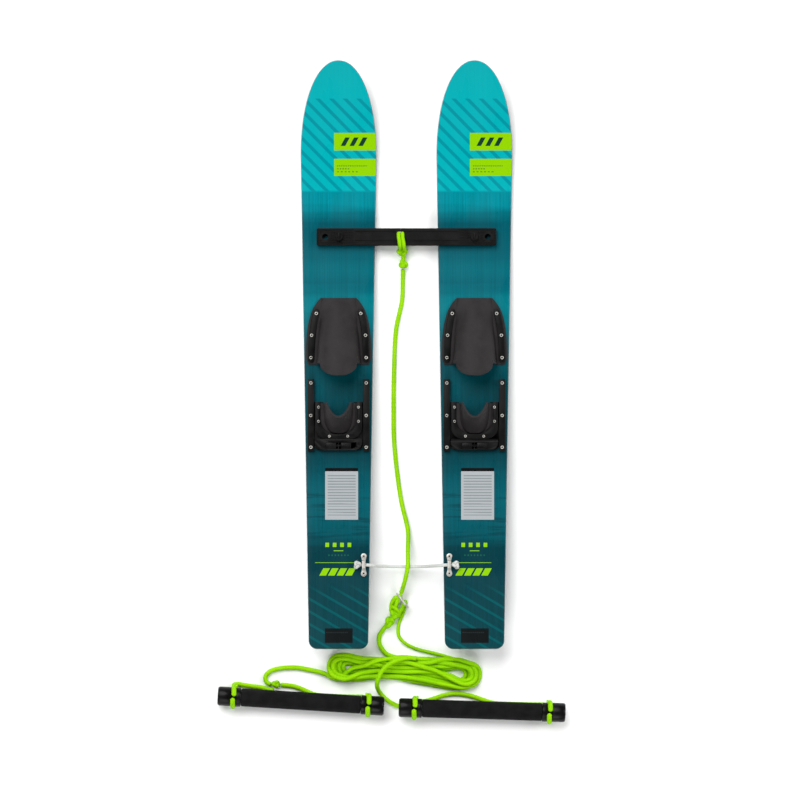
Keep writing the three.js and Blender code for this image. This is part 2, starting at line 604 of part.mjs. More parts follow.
const RIGHT_BRIDLE = [
  [26, -103.8, 6], [38, -103.6, 4.8], [56.5, -98.6, 4.6], [74.4, -92.5, 4.6], [97.4, -89.5, 4.6],
  [125.1, -93, 4.6], [148, -100.2, 4.6], [172, -107.6, 4.6], [210, -109.6, 4.6], [250, -110.6, 4.6],
  [277, -110.9, 4.6],
];

function hankGeometry() {
  const ring = new THREE.CatmullRomCurve3(HANK_OUTLINE.map(([x, y]) => vec(x, y, 0)), true);
  const outline = ring.getPoints(48).slice(0, -1).map(({ x, y }) => [x, y]);
  return prism(polygon(outline.reverse()), 0, HANK_HEIGHT);
}

// The eye on the ring, its throat and the stopper knot behind it, as one lumpy body clear of the ring.
const RING_KNOT = [
  { radii: [8, 13, 8], turn: -0.25, place: [-22.5, 80.5, 9] },
  { radii: [7.5, 12, 7.5], turn: -0.5, place: [-25.5, 67, 8] },
  { radii: [8.5, 12.5, 8], turn: -0.6, place: [-34.2, 55.5, 8.2] },
];

function ringKnotSolid() {
  const lumps = RING_KNOT.map(({ radii, turn, place }) => {
    const lump = knot(radii, [0, 0, 0]).rotateZ(turn);
    return toSolid(lump.translate(...place));
  });
  return lumps.reduce((whole, lump) => whole.add(lump));
}

function ringGeometry() {
  const ring = new THREE.TorusGeometry(RING.radius, RING.wire, 6, 24);
  return ring.rotateX(Math.PI / 2).rotateZ(RING.heading).translate(...RING.place);
}

// Rear line, from knot to knot: flat on each deck, sagging between the skis.
function tetherRoute() {
  const deckTop = Math.cos(TILT) * (DECK - TETHER.station * SLOPE) + LIFT;
  const y = TETHER.station * Math.cos(TILT) + DECK * Math.sin(TILT);
  const onDeck = deckTop + THIN_ROPE / 2 + GAP;
  const half = [
    [90.4, 0], [84.6, 0], [77, -0.4], [70.5, -0.8], [65, 2.8], [59, 10], [49, 21], [33, 33.5], [16, 40.5],
  ];
  const right = half.map(([x, sag]) => [x, y, onDeck - sag]);
  const left = [...right].reverse().map(([x, , z]) => [-x, y, z]);
  return [...right, [0, y, onDeck - TETHER.sag], ...left];
}

// ---------------------------------------------------------------- assembly
for (const [name, hand] of [['left', -1], ['right', 1]]) {
  const ski = new THREE.Group();
  ski.position.x = hand * SKI_SPACING / 2;
  deckFrame.add(ski);
  piece(ski, `${name}_ski_board`, boardSolid(), FINISH.deck);
  piece(ski, `${name}_fin`, finSolid(), FINISH.blackPlastic);
  piece(ski, `${name}_toe_rubber`, toeSolid(), FINISH.rubber);
  piece(ski, `${name}_heel_carriage`, carriageSolid(), FINISH.blackPlastic);
  piece(ski, `${name}_heel_cup`, cupSolid(), FINISH.rubber);
  piece(ski, `${name}_heel_clamp`, clampSolid(), FINISH.blackPlastic);
  piece(deckFrame, `${name}_bar_stud`, studGeometry().translate(hand * BAR.knobAt, 0, 0), FINISH.steel);
  const knob = piece(deckFrame, `${name}_bar_knob`, knobSolid(), FINISH.blackPlastic);
  knob.position.x = hand * BAR.knobAt;
  const plate = piece(deckFrame, `${name}_line_plate`, linePlateSolid(), FINISH.steel);
  plate.position.x = hand * TETHER.plateAt;
  const radius = TETHER.knotRadius;
  const lineKnotPlace = [hand * TETHER.knotAt, TETHER.station, DECK + radius + GAP];
  piece(deckFrame, `${name}_line_knot`, knot([radius, radius, radius], lineKnotPlace), FINISH.white);
  for (const [where, side] of [['outer', hand], ['inner', -hand]]) {
    piece(ski, `${name}_toe_strip_${where}`, stripSolid(side), FINISH.blackPlastic);
    piece(ski, `${name}_heel_rail_${where}`, railSolid(side), FINISH.blackPlastic);
    piece(ski, `${name}_latch_${where}`, latchSolid(side), FINISH.blackPlastic);
  }
}
piece(deckFrame, 'trainer_bar', barSolid(), FINISH.blackPlastic);
piece(deckFrame, 'bar_loop', barLoopSolid(), FINISH.lime);
piece(floorFrame, 'rear_line', ropeTube(tetherRoute(), THIN_ROPE), FINISH.white);
piece(floorFrame, 'tow_line', ropeTube(TOW_LINE, TOW_ROPE), FINISH.lime);
piece(floorFrame, 'tow_ring', ringGeometry(), FINISH.steel);
piece(floorFrame, 'ring_knot', ringKnotSolid(), FINISH.lime);
piece(floorFrame, 'knot_line', ropeTube(KNOT_LINE, HANDLE_ROPE), FINISH.lime);
piece(floorFrame, 'thin_line', ropeTube(THIN_LINE, THIN_ROPE), FINISH.lime);
piece(floorFrame, 'rope_hank', hankGeometry(), FINISH.lime);
piece(floorFrame, 'left_lead', ropeTube(LEFT_LEAD, HANDLE_ROPE), FINISH.lime);
piece(floorFrame, 'left_bridle_knot', knot([8, 8, 7.8], BRIDLE_KNOT), FINISH.lime);
piece(floorFrame, 'left_bridle_near', ropeTube(LEFT_BRIDLE_NEAR, HANDLE_ROPE), FINISH.lime);
piece(floorFrame, 'left_bridle_far', ropeTube(LEFT_BRIDLE_FAR, HANDLE_ROPE), FINISH.lime);
piece(floorFrame, 'right_lead', ropeTube(RIGHT_LEAD, HANDLE_ROPE), FINISH.lime);
piece(floorFrame, 'right_bridle', ropeTube(RIGHT_BRIDLE, HANDLE_ROPE), FINISH.lime);
for (const [name, { place, heading, rise }] of Object.entries(HANDLE_PLACES)) {
  addHandle(name, place, heading, rise);
}

// The origin is under the middle of the object, without the free ropes and what is on them.
const ROPE_PIECES = ['rear_line', 'left_line_knot', 'right_line_knot', 'bar_loop', 'tow_line', 'tow_ring',
  'ring_knot', 'knot_line', 'thin_line', 'rope_hank', 'left_lead', 'left_bridle_knot', 'left_bridle_near',
  'left_bridle_far', 'right_lead', 'right_bridle'];
const pair = new THREE.Group();
pair.add(deckFrame, floorFrame);
pair.updateMatrixWorld(true);
const extent = new THREE.Box3();
pair.traverse((node) => {
  if (node.isMesh && !ROPE_PIECES.includes(node.name)) {
    extent.expandByObject(node, true);
  }
});
const centre = extent.getCenter(new THREE.Vector3());
pair.position.set(-centre.x, -centre.y, -extent.min.z);

export default pair;
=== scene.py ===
"""Looks of a learner's water ski pair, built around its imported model.

Shapes are written in millimetres, in the object's own two frames, and become metres as each mesh is
made. DECK is the tilted frame of the skis: x across the pair, s along a ski from its tail, z up from
its base. FLOOR is the level frame that the ropes and handles lie in, with the same middle and tail.
"""
import json
import math

import bmesh
import bpy
import numpy as np
from mathutils import Matrix, Vector


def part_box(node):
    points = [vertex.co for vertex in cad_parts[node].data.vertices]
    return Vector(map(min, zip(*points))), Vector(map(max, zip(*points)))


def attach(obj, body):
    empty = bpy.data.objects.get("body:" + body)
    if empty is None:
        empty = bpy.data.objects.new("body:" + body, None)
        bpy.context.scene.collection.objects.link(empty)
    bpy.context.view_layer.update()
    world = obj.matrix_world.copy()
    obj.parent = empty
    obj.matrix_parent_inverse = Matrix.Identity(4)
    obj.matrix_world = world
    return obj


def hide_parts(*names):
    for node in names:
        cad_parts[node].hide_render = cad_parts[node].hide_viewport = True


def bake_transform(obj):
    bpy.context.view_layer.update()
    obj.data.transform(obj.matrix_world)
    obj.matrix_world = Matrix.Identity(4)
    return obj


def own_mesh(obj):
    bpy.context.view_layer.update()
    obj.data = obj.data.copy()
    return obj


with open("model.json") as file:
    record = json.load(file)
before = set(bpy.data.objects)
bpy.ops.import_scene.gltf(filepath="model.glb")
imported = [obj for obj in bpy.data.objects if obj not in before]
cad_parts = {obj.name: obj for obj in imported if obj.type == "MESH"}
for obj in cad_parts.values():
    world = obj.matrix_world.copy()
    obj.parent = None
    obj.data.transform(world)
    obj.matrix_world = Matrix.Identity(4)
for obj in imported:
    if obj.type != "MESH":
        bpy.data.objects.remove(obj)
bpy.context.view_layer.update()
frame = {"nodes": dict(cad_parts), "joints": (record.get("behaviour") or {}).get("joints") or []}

# ------------------------------------------------------------------ sizes, in millimetres
MM = 0.001
SKI_SPACING = 269
DECK_TOP = 15
BOARD = {"length": 1162, "tail_half": 59, "front_half": 75, "widest_at": 978, "tip_power": 2.1,
         "tail_corner": 17, "tail_thickness": 9, "tip_thickness": 8, "tail_taper": 130,
         "tip_taper_from": 850, "rocker_from": 800, "rocker_rise": 72.6,
         "tunnel_base_half": 35, "tunnel_depth": 3, "tunnel_end": 700}
FIN = {"depth": 45, "tip_front": 125, "screws": (38, 195)}
BAR = {"half": 178, "width": 34.3, "low": 15.9, "high": 28.9, "station": 815.8, "knob_at": 134,
       "spare_at": 161, "hole": 6}
ROPE_HOLE = (-12, 819.4, 7.5)
TOE = {"soft_from": 615, "front": 694, "rear": 564, "tongue": 26.2, "tongue_half": 36, "wall": 4.5,
       "flange": 3, "height": 56, "dome_front": 692, "half_at": 665, "half": 35, "flare": 0.082, "power": 2.3}
TOE_EDGE = [(564, 59), (574, 63), (597, 63.2), (626, 61.5), (652, 57), (673, 50), (691, 38), (694, 34)]
CUP = {"half": 30.6, "rear": 422.5, "front": 486, "wall": 4.6, "lean": 31.8, "narrowing": 5.6,
       "height": 62, "base": (2.9, 2.9), "rim": (2.0, 1.25), "flange_low": 21.6, "flange": 3,
       "flange_reach": 11}
SPRING = {"from": 1.1, "length": 3.3, "coils": 3.5, "radius": 2.6, "wire": 0.3, "station": 401.6, "z": 23,
          "seat": 0.65, "pressed_share": 0.06}
RIDGES = {"first": 9.2, "pitch": 3.9, "count": 4, "half": 0.7, "rear": 397.6, "front": 405.6, "low": 28.5,
          "high": 29.5}
HANDLE = {"grip_half": 118.7, "grip": 17.85, "cap": 19, "cap_inner": 119, "end": 165, "tube": 11,
          "tube_bore": 9.4, "tube_half": 150, "lashing": 134, "groove": 14.5}
HANDLES = {"left": ((-209.1, -103.3, 23.9), -0.0621, 0.0), "right": ((149.7, -121.3, 26.1), -0.0314, 0.0156)}
TOW_ROPE = 8.5
HANDLE_ROPE = 9.0
THIN_ROPE = 6.5
TETHER = {"station": 166, "plate_at": 84.6, "knot_at": 97.5, "screw_reach": 17, "screw_z": 17.8, "bow": 4,
          "sag": 42.5}
HANDS = (("left", -1), ("right", 1))
LIME = ("lime_rope", "lime_rope")
WHITE = ("white_line", "white_line")


# ------------------------------------------------------------------ frames
def deck_frame():
    """The skis' frame: tilted by the bar's lift axis, standing on the fins' lowest corners."""
    lift = next(joint for joint in frame["joints"] if joint["name"] == "bar_lift")["axis"]
    tilt = math.atan2(lift[1], lift[2])
    left_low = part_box("left_ski_board")[0]
    right_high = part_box("right_ski_board")[1]
    rise = (FIN["depth"] * math.cos(tilt) + FIN["tip_front"] * math.sin(tilt)) * MM
    place = Matrix.Translation(((left_low.x + right_high.x) / 2, left_low.y, rise))
    return place @ Matrix.Rotation(-tilt, 4, "X") @ Matrix.Scale(MM, 4), place


DECK, deck_place = deck_frame()
FLOOR = Matrix.Translation((deck_place.translation.x, deck_place.translation.y, 0)) @ Matrix.Scale(MM, 4)


def ski_frame(hand):
    return DECK @ Matrix.Translation((hand * SKI_SPACING / 2, 0, 0))


def base_height(s):
    """How far the rocker lifts the base at station s."""
    curve = BOARD["rocker_rise"] / (BOARD["length"] - BOARD["rocker_from"]) ** 2
    return curve * max(0.0, s - BOARD["rocker_from"]) ** 2


# ------------------------------------------------------------------ materials
LIGHT_LEVEL = 1.45


def srgb(red, green, blue):
    """A base colour that shows as these 0-255 display values in the studio's bright light."""
    def linear(value):
        value /= 255
        shown = value / 12.92 if value <= 0.04045 else ((value + 0.055) / 1.055) ** 2.4
        return shown / LIGHT_LEVEL
    return (linear(red), linear(green), linear(blue), 1.0)


class Shader:
    """One material and short names for making its nodes."""

    def __init__(self, name, colour, roughness, metallic=0.0):
        self.material = bpy.data.materials.new(name)
        self.material.use_nodes = True
        self.tree = self.material.node_tree
        self.surface = self.tree.nodes["Principled BSDF"]
        self.set("Base Color", colour)
        self.set("Roughness", roughness)
        self.set("Metallic", metallic)

    def node(self, kind, **settings):
        made = self.tree.nodes.new(kind)
        for key, value in settings.items():
            setattr(made, key, value)
        return made

    def feed(self, socket, value):
        if isinstance(value, bpy.types.NodeSocket):
            self.tree.links.new(value, socket)
        else:
            socket.default_value = value

    def set(self, name, value):
        """Gives an input of the surface a value, or the output of a node."""
        self.feed(self.surface.inputs[name], value)

    def math(self, operation, *values, clamp=False):
        made = self.node("ShaderNodeMath", operation=operation, use_clamp=clamp)
        for socket, value in zip(made.inputs, values):
            self.feed(socket, value)
        return made.outputs[0]

    def mix(self, factor, first, second, blend="MIX"):
        made = self.node("ShaderNodeMix", data_type="RGBA", blend_type=blend)
        self.feed(made.inputs[0], factor)
        self.feed(made.inputs[6], first)
        self.feed(made.inputs[7], second)
        return made.outputs[2]

    def noise(self, vector, scale, detail=2.0, roughness=0.5):
        made = self.node("ShaderNodeTexNoise")
        self.feed(made.inputs["Vector"], vector)
        made.inputs["Scale"].default_value = scale
        made.inputs["Detail"].default_value = detail
        made.inputs["Roughness"].default_value = roughness
        return made.outputs["Fac"]

    def stretched(self, vector, factors):
        made = self.node("ShaderNodeVectorMath", operation="MULTIPLY")
        self.feed(made.inputs[0], vector)
        made.inputs[1].default_value = factors
        return made.outputs[0]

    def ranged(self, value, low, high, to_low=0.0, to_high=1.0):
        made = self.node("ShaderNodeMapRange", interpolation_type="SMOOTHSTEP")
        for socket, number in zip(made.inputs, (value, low, high, to_low, to_high)):
            self.feed(socket, number)
        return made.outputs[0]

    def bump(self, height, strength, distance):
        made = self.node("ShaderNodeBump")
        made.inputs["Strength"].default_value = strength
        made.inputs["Distance"].default_value = distance
        self.feed(made.inputs["Height"], height)
        self.set("Normal", made.outputs[0])

    def position(self):
        return self.node("ShaderNodeTexCoord").outputs["Object"]


def moulded(name, colour, roughness, grain, depth, wear=0.35):
    """Moulded plastic or rubber: a fine pebble grain, cloudy roughness, and paler rubbed patches."""
    shader = Shader(name, colour, roughness)
    shader.set("Specular IOR Level", 0.11)
    place = shader.position()
    grain_height = shader.noise(place, grain, 3.0, 0.6)
    clouds = shader.noise(place, 38.0, 3.0)
    shader.bump(grain_height, 0.55, depth)
    low, high = max(0.05, roughness - 0.08), min(1.0, roughness + 0.1)
    shader.set("Roughness", shader.ranged(clouds, 0.3, 0.7, low, high))
    pale = tuple(channel * (1 + wear) + 0.001 for channel in colour[:3]) + (1.0,)
    deep = tuple(channel * (1 - 0.4 * wear) for channel in colour[:3]) + (1.0,)
    tone = shader.mix(shader.ranged(clouds, 0.35, 0.7), deep, pale)
    shader.set("Base Color", tone)
    return shader.material


def metal(name, colour, roughness, metallic=1.0, along=(1, 1, 1)):
    """Drawn or polished metal with fine lines and faint smears."""
    shader = Shader(name, colour, roughness, metallic)
    lines = shader.noise(shader.stretched(shader.position(), along), 900.0, 2.0)
    smears = shader.noise(shader.position(), 60.0, 3.0)
    shader.bump(lines, 0.25, 0.00008)
    rough = shader.ranged(smears, 0.3, 0.7, roughness - 0.07, roughness + 0.1)
    shader.set("Roughness", rough)
    return shader.material


def braided(name, colour, deep, fibre_glint):
    """Braided rope: painted shade in the crevices between strands, and a painted highlight where the fibres
    catch light.
    """
    shader = Shader(name, colour, 0.62)
    relief = shader.node("ShaderNodeAttribute", attribute_name="relief").outputs["Fac"]
    uv = shader.node("ShaderNodeUVMap", uv_map="rope").outputs[0]
    fibres = shader.noise(shader.stretched(uv, (1.0, 5.0, 1.0)), 190.0, 3.0, 0.65)
    patches = shader.noise(shader.position(), 24.0, 2.0)
    # Painted shade: the deep colour where the strands' relief is low, in the crevices between them.
    body = shader.mix(shader.ranged(relief, 0.15, 0.85), deep, colour)
    # Painted highlight: the fibre glint colour along the fibres' bright streaks.
    body = shader.mix(shader.ranged(fibres, 0.52, 0.78, 0.0, 0.5), body, fibre_glint)
    body = shader.mix(shader.ranged(patches, 0.35, 0.75, 0.0, 0.25), body, deep)
    shader.set("Base Color", body)
    shader.bump(fibres, 0.5, 0.0004)
    shader.set("Specular IOR Level", 0.07)
    return shader.material


def foam():
    """Closed-cell foam: tiny open pores and a soft sheen."""
    shader = Shader("grip_foam", srgb(19, 19, 20), 0.86)
    shader.set("Specular IOR Level", 0.1)
    place = shader.position()
    pores = shader.node("ShaderNodeTexVoronoi", feature="F1")
    shader.feed(pores.inputs["Vector"], place)
    pores.inputs["Scale"].default_value = 900.0
    clouds = shader.noise(place, 55.0, 3.0)
    shader.bump(pores.outputs["Distance"], 0.6, 0.0003)
    tone = shader.mix(shader.ranged(clouds, 0.3, 0.7), srgb(13, 13, 14), srgb(23, 23, 24))
    shader.set("Base Color", tone)
    shader.set("Sheen Weight", 0.02)
    return shader.material


# The deck's printed colours from tail to tip: station in mm and display colour.
DECK_BANDS = [
    (0, (16, 70, 78)), (135, (13, 66, 75)), (166, (2, 59, 68)), (204, (1, 62, 71)), (222, (0, 86, 97)),
    (300, (0, 95, 107)), (340, (0, 84, 96)), (375, (0, 68, 78)), (440, (0, 70, 80)),
    (500, (1, 80, 91)), (560, (0, 80, 91)), (610, (0, 96, 108)), (676, (1, 124, 135)), (696, (1, 120, 132)),
    (722, (0, 99, 113)), (750, (1, 108, 121)), (785, (0, 96, 110)), (842, (0, 93, 107)),
    (862, (1, 114, 127)), (882, (0, 142, 156)), (905, (0, 142, 156)), (905.6, (1, 180, 187)),
    (1088, (1, 180, 187)), (1168, (1, 176, 183)),
]
BAND_END = 1200.0


def deck_print():
    """The deck's letterless print: colour bands, slanted stripes, lime panels and small plain marks."""
    shader = Shader("deck_print", srgb(0, 96, 110), 0.3)
    lime = srgb(150, 215, 0)
    dark_mark = srgb(20, 62, 48)
    split = shader.node("ShaderNodeSeparateXYZ")
    shader.feed(split.inputs[0], shader.node("ShaderNodeUVMap", uv_map="deck").outputs[0])
    x = shader.math("MULTIPLY", split.outputs[0], 1 / MM)
    s = shader.math("MULTIPLY", split.outputs[1], 1 / MM)
    plan = shader.node("ShaderNodeCombineXYZ")
    shader.feed(plan.inputs[0], split.outputs[0])
    shader.feed(plan.inputs[1], split.outputs[1])

    def between(value, low, high):
        return shader.math("COMPARE", value, (low + high) / 2, (high - low) / 2)

    def both(*masks):
        result = masks[0]
        for mask in masks[1:]:
            result = shader.math("MULTIPLY", result, mask)
        return result

    def panel(left, right, low, high):
        return both(between(x, left, right), between(s, low, high))

    def repeats(value, pitch, share):
        """A mask over the first share of each pitch of a value."""
        turn = shader.math("FRACT", shader.math("DIVIDE", value, pitch))
        return shader.math("LESS_THAN", turn, share)

    def streaks(across, along, *detail):
        """Noise over the deck, finer where the factor for that way is larger."""
        return shader.noise(shader.stretched(plan.outputs[0], (across, along, 1.0)), 1.0, *detail)

    def slanted(slope, pitch, share, shift):
        """Parallel stripes that fall to the right: share of each pitch is printed."""
        along = shader.math("MULTIPLY_ADD", s, slope, x)
        return repeats(shader.math("ADD", along, shift), pitch, share)

    def dashes(left, right, low, high, pitch, share):
        """A row of small blocks, evenly spaced across."""
        across = shader.math("SUBTRACT", x, left)
        return both(panel(left, right, low, high), repeats(across, pitch, share))

    def leaning_bars(left, low, high, count, pitch, share):
        """A row of whole bars that lean to the right, the first one's foot at left."""
        lean = shader.math("MULTIPLY_ADD", shader.math("SUBTRACT", s, low), -0.55, x)
        across = shader.math("SUBTRACT", lean, left)
        return both(between(lean, left, left + count * pitch), between(s, low, high),
                    repeats(across, pitch, share))

    # The bands drift a little, so that they look painted and not ruled.
    waves = streaks(4.0, 60.0, 3.0)
    lower = shader.ranged(s, 880, 900, 1.0, 0.0)
    drift = shader.math("MULTIPLY", shader.math("SUBTRACT", waves, 0.5), shader.math("MULTIPLY", lower, 34.0))
    ramp = shader.node("ShaderNodeValToRGB")
    shader.feed(ramp.inputs[0], shader.math("DIVIDE", shader.math("ADD", s, drift), BAND_END))
    stops = ramp.color_ramp.elements
    for number, (station, colour) in enumerate(DECK_BANDS):
        stop = stops[number] if number < 2 else stops.new(station / BAND_END)
        stop.position = station / BAND_END
        stop.color = srgb(*colour)
    body = ramp.outputs[0]

    # Long wave shadows across the lower deck, and fine brush lines along it.
    swell = streaks(7.0, 95.0, 4.0, 0.6)
    swell_zone = both(shader.ranged(s, 196, 222), shader.ranged(s, 306, 330, 1.0, 0.0))
    swell_amount = both(shader.ranged(swell, 0.5, 0.62), swell_zone)
    body = shader.mix(shader.math("MULTIPLY", swell_amount, 0.75), body, srgb(0, 66, 77))
    brush = streaks(420.0, 5.0, 3.0, 0.6)
    brush_zone = shader.ranged(s, 898, 908, 0.42, 0.06)
    brush_tone = shader.ranged(brush, 0.3, 0.7, 0.72, 1.28)
    brushed = shader.node("ShaderNodeVectorMath", operation="SCALE")
    shader.feed(brushed.inputs[0], body)
    shader.feed(brushed.inputs[3], brush_tone)
    body = shader.mix(brush_zone, body, brushed.outputs[0])

    tip_stripes = both(slanted(1.0, 27.0, 0.34, 11.0), between(s, 905.5, 1088))
    body = shader.mix(tip_stripes, body, srgb(2, 150, 163))
    tail_stripes = both(slanted(1.72, 42.7, 0.22, 20.0), shader.ranged(s, 96, 134, 1.0, 0.0))
    body = shader.mix(shader.math("MULTIPLY", tail_stripes, 0.7), body, srgb(4, 98, 102))

    # Upper lime panel with three slanted bars, lower one with rows of fine dashes.
    upper = panel(-9, 100, 987, 1021.5)
    lower_panel = panel(-9, 100, 937.2, 970.8)
    body = shader.mix(shader.math("MAXIMUM", upper, lower_panel), body, lime)
    bars = leaning_bars(4, 996, 1012.5, 3, 17.5, 0.52)
    body = shader.mix(bars, body, dark_mark)
    fine = shader.math("MAXIMUM", dashes(-3, 56, 956, 957.8, 3.6, 0.62), dashes(-3, 22, 950.2, 952, 5.2, 0.6))
    fine = shader.math("MAXIMUM", fine, dashes(-3, 38, 944.5, 946.2, 7.4, 0.5))
    body = shader.mix(shader.math("MULTIPLY", fine, 0.8), body, dark_mark)

    # Small marks near the tail: four blocks, a dash, a row of dull dots, a ruled line and four bars.
    blocks = dashes(-26, 30, 201.5, 210, 14.6, 0.5)
    dash = panel(-9.5, 9.5, 193.4, 194.8)
    rule = panel(-46, 33, 170, 171)
    badge = leaning_bars(-38, 145, 159.5, 4, 17, 0.78)
    lines = shader.math("MAXIMUM", rule, badge)
    printed = shader.math("MAXIMUM", shader.math("MAXIMUM", blocks, dash), lines)
    body = shader.mix(printed, body, lime)
    dots = dashes(-20, 22, 184, 186.6, 6.3, 0.36)
    body = shader.mix(shader.math("MULTIPLY", dots, 0.55), body, srgb(40, 140, 70))
    body = shader.mix(panel(-27, 28, 12, 40.7), body, srgb(22, 26, 27))
    body = shader.mix(dashes(-24, 20, 32, 33.2, 4.0, 0.6), body, srgb(52, 60, 62))

    # A plain pale panel behind the heel, with a dark head and grey ruled rows.
    body = shader.mix(panel(-26.5, 38.7, 255.6, 351.5), body, srgb(180, 186, 189))
    row_ends = streaks(3.0, 180.0, 1.0)
    rows = both(panel(-21.5, 34, 261, 344), repeats(s, 5.6, 0.44),
                shader.math("GREATER_THAN", row_ends, 0.42))
    body = shader.mix(shader.math("MULTIPLY", rows, 0.6), body, srgb(112, 120, 124))
    body = shader.mix(panel(-26.5, 38.7, 351.5, 358), body, srgb(14, 12, 13))

    shader.set("Base Color", body)
    ripple = streaks(60.0, 60.0, 2.0)
    shader.bump(ripple, 0.08, 0.0004)
    smears = streaks(18.0, 9.0, 3.0)
    shader.set("Roughness", shader.ranged(smears, 0.3, 0.7, 0.24, 0.38))
    shader.set("Specular IOR Level", 0.1)
    return shader.material


def pressed_base():
    """The skis' plain pressed base and side walls, with faint running scratches."""
    shader = Shader("ski_base", srgb(6, 62, 72), 0.34)
    scratches = shader.noise(shader.stretched(shader.position(), (260.0, 6.0, 260.0)), 1.0, 3.0, 0.7)
    shader.bump(scratches, 0.2, 0.0002)
    tone = shader.mix(shader.ranged(scratches, 0.3, 0.75), srgb(4, 55, 64), srgb(12, 78, 88))
    shader.set("Base Color", tone)
    return shader.material


MATERIALS = {
    "deck": deck_print(),
    "base": pressed_base(),
    "black_plastic": moulded("black_plastic", srgb(15, 14, 14), 0.46, 1500.0, 0.00012),
    "button_plastic": moulded("button_plastic", srgb(17, 16, 17), 0.38, 1500.0, 0.0001),
    "rubber": moulded("binding_rubber", srgb(48, 45, 46), 0.58, 2100.0, 0.00018, 0.2),
    "steel": metal("screw_steel", srgb(216, 213, 206), 0.42, 0.55),
    "spring": metal("spring_steel", srgb(48, 48, 50), 0.45, 0.8),
    # Painted shade inside the screws' hex sockets.
    "socket_shade": moulded("screw_socket_shade", srgb(16, 13, 11), 0.6, 1500.0, 0.0001),
    "aluminium": metal("tube_aluminium", srgb(176, 179, 181), 0.36, 1.0, (0.05, 1, 1)),
    "gloss_black": moulded("cap_plastic", srgb(15, 14, 15), 0.3, 400.0, 0.00005, 0.15),
    "grip_foam": foam(),
    # Each rope's second colour is its painted crevice shade, and its third its painted fibre highlight.
    "lime_rope": braided("lime_rope", srgb(166, 236, 0), srgb(84, 178, 0), srgb(196, 248, 10)),
    "white_line": braided("white_line", srgb(236, 238, 234), srgb(176, 178, 175), srgb(250, 250, 248)),
}


# ------------------------------------------------------------------ mesh tools
def new_object(name, points, faces, place, weld=False):
    """A mesh object from points in that frame, with its faces turned outwards."""
    mesh = bpy.data.meshes.new(name)
    mesh.from_pydata([place @ Vector(point) for point in points], [], faces)
    made = bpy.data.objects.new(name, mesh)
    bpy.context.scene.collection.objects.link(made)
    turn_outwards(mesh, weld)
    return made


def turn_outwards(mesh, weld):
    """Faces out; weld joins points that meet, as on a turned body's axis."""
    work = bmesh.new()
    work.from_mesh(mesh)
    if weld:
        bmesh.ops.remove_doubles(work, verts=work.verts, dist=0.001 * MM)
    bmesh.ops.recalc_face_normals(work, faces=work.faces)
    work.to_mesh(mesh)
    work.free()


def smooth(obj, angle=35):
    """Soft shading, with edges sharper than the angle kept crisp."""
    obj.data.polygons.foreach_set("use_smooth", [True] * len(obj.data.polygons))
    obj.data.set_sharp_from_angle(angle=math.radians(angle))
    return obj


def bevelled(obj, width, segments=2, angle=30):
    """Rounds the edges of a piece by width millimetres."""
    bevel = obj.modifiers.new("edges", "BEVEL")
    bevel.width = width * MM
    bevel.segments = segments
    bevel.limit_method = "ANGLE"
    bevel.angle_limit = math.radians(angle)
    bevel.use_clamp_overlap = True
    return obj


def applied(obj):
    """Turns an object's modifiers into mesh."""
    graph = bpy.context.evaluated_depsgraph_get()
    mesh = bpy.data.meshes.new_from_object(obj.evaluated_get(graph))
    obj.modifiers.clear()
    obj.data = mesh
    return obj


def cut_by(obj, cutter):
    """Removes the cutter's solid from the object and deletes the cutter."""
    cut = obj.modifiers.new("cut", "BOOLEAN")
    cut.operation = "DIFFERENCE"
    cut.solver = "EXACT"
    cut.object = cutter
    applied(obj)
    bpy.data.objects.remove(cutter)
    return obj


def joined(name, objects):
    """One object from several, whose meshes stay separate closed bodies."""
    work = bmesh.new()
    for obj in objects:
        work.from_mesh(obj.data)
    mesh = bpy.data.meshes.new(name)
    work.to_mesh(mesh)
    work.free()
    for obj in objects:
        bpy.data.objects.remove(obj)
    made = bpy.data.objects.new(name, mesh)
    bpy.context.scene.collection.objects.link(made)
    return made


def fit(obj, body, slot, material, *nodes):
    """Gives a finished piece its material and body, and hides the nodes it stands for; the slot is not used.
    """
    obj.data.materials.clear()
    obj.data.materials.append(MATERIALS[material])
    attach(obj, body)
    if nodes:
        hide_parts(*nodes)
    return obj


def mapped_box(rows, cols, levels, place):
    """Points and faces of a closed box whose lattice is bent: place(row, col, level) is each point."""
    index, points, faces = {}, [], []

    def corner(key):
        if key not in index:
            index[key] = len(points)
            points.append(place(*key))
        return index[key]

    def patch(first, second, key):
        for i in range(first):
            for j in range(second):
                around = ((i, j), (i + 1, j), (i + 1, j + 1), (i, j + 1))
                faces.append([corner(key(*pair)) for pair in around])

    for level in (0, levels):
        patch(rows, cols, lambda i, j, k=level: (i, j, k))
    for row in (0, rows):
        patch(cols, levels, lambda j, k, i=row: (i, j, k))
    for col in (0, cols):
        patch(rows, levels, lambda i, k, j=col: (i, j, k))
    return points, faces


def prism_object(name, outline, low, high, place):
    """An upright prism on a plan outline of (x, s) points."""
    count = len(outline)
    points = [(x, s, z) for z in (low, high) for x, s in outline]
    sides = [(i, (i + 1) % count, count + (i + 1) % count, count + i) for i in range(count)]
    caps = [tuple(range(count)), tuple(range(count, 2 * count))]
    return new_object(name, points, sides + caps, place)


def ring_faces(rings, sides, closed):
    """Faces that join neighbouring rings of points; an open row of rings gets a cap at each end."""
    faces = []
    for ring in range(rings if closed else rings - 1):
        here, there = ring * sides, (ring + 1) % rings * sides
        for i in range(sides):
            after = (i + 1) % sides
            faces.append((here + i, here + after, there + after, there + i))
    if not closed:
        faces += [tuple(range(sides)), tuple(range((rings - 1) * sides, rings * sides))]
    return faces


def turned(profile, segments=56):
    """Points and faces of a body turned about X from (radius, along) points, closed on itself."""
    points = []
    for step in range(segments):
        turn = 2 * math.pi * step / segments
        points += [(along, radius * math.cos(turn), radius * math.sin(turn)) for radius, along in profile]
    return points, ring_faces(segments, len(profile), True)


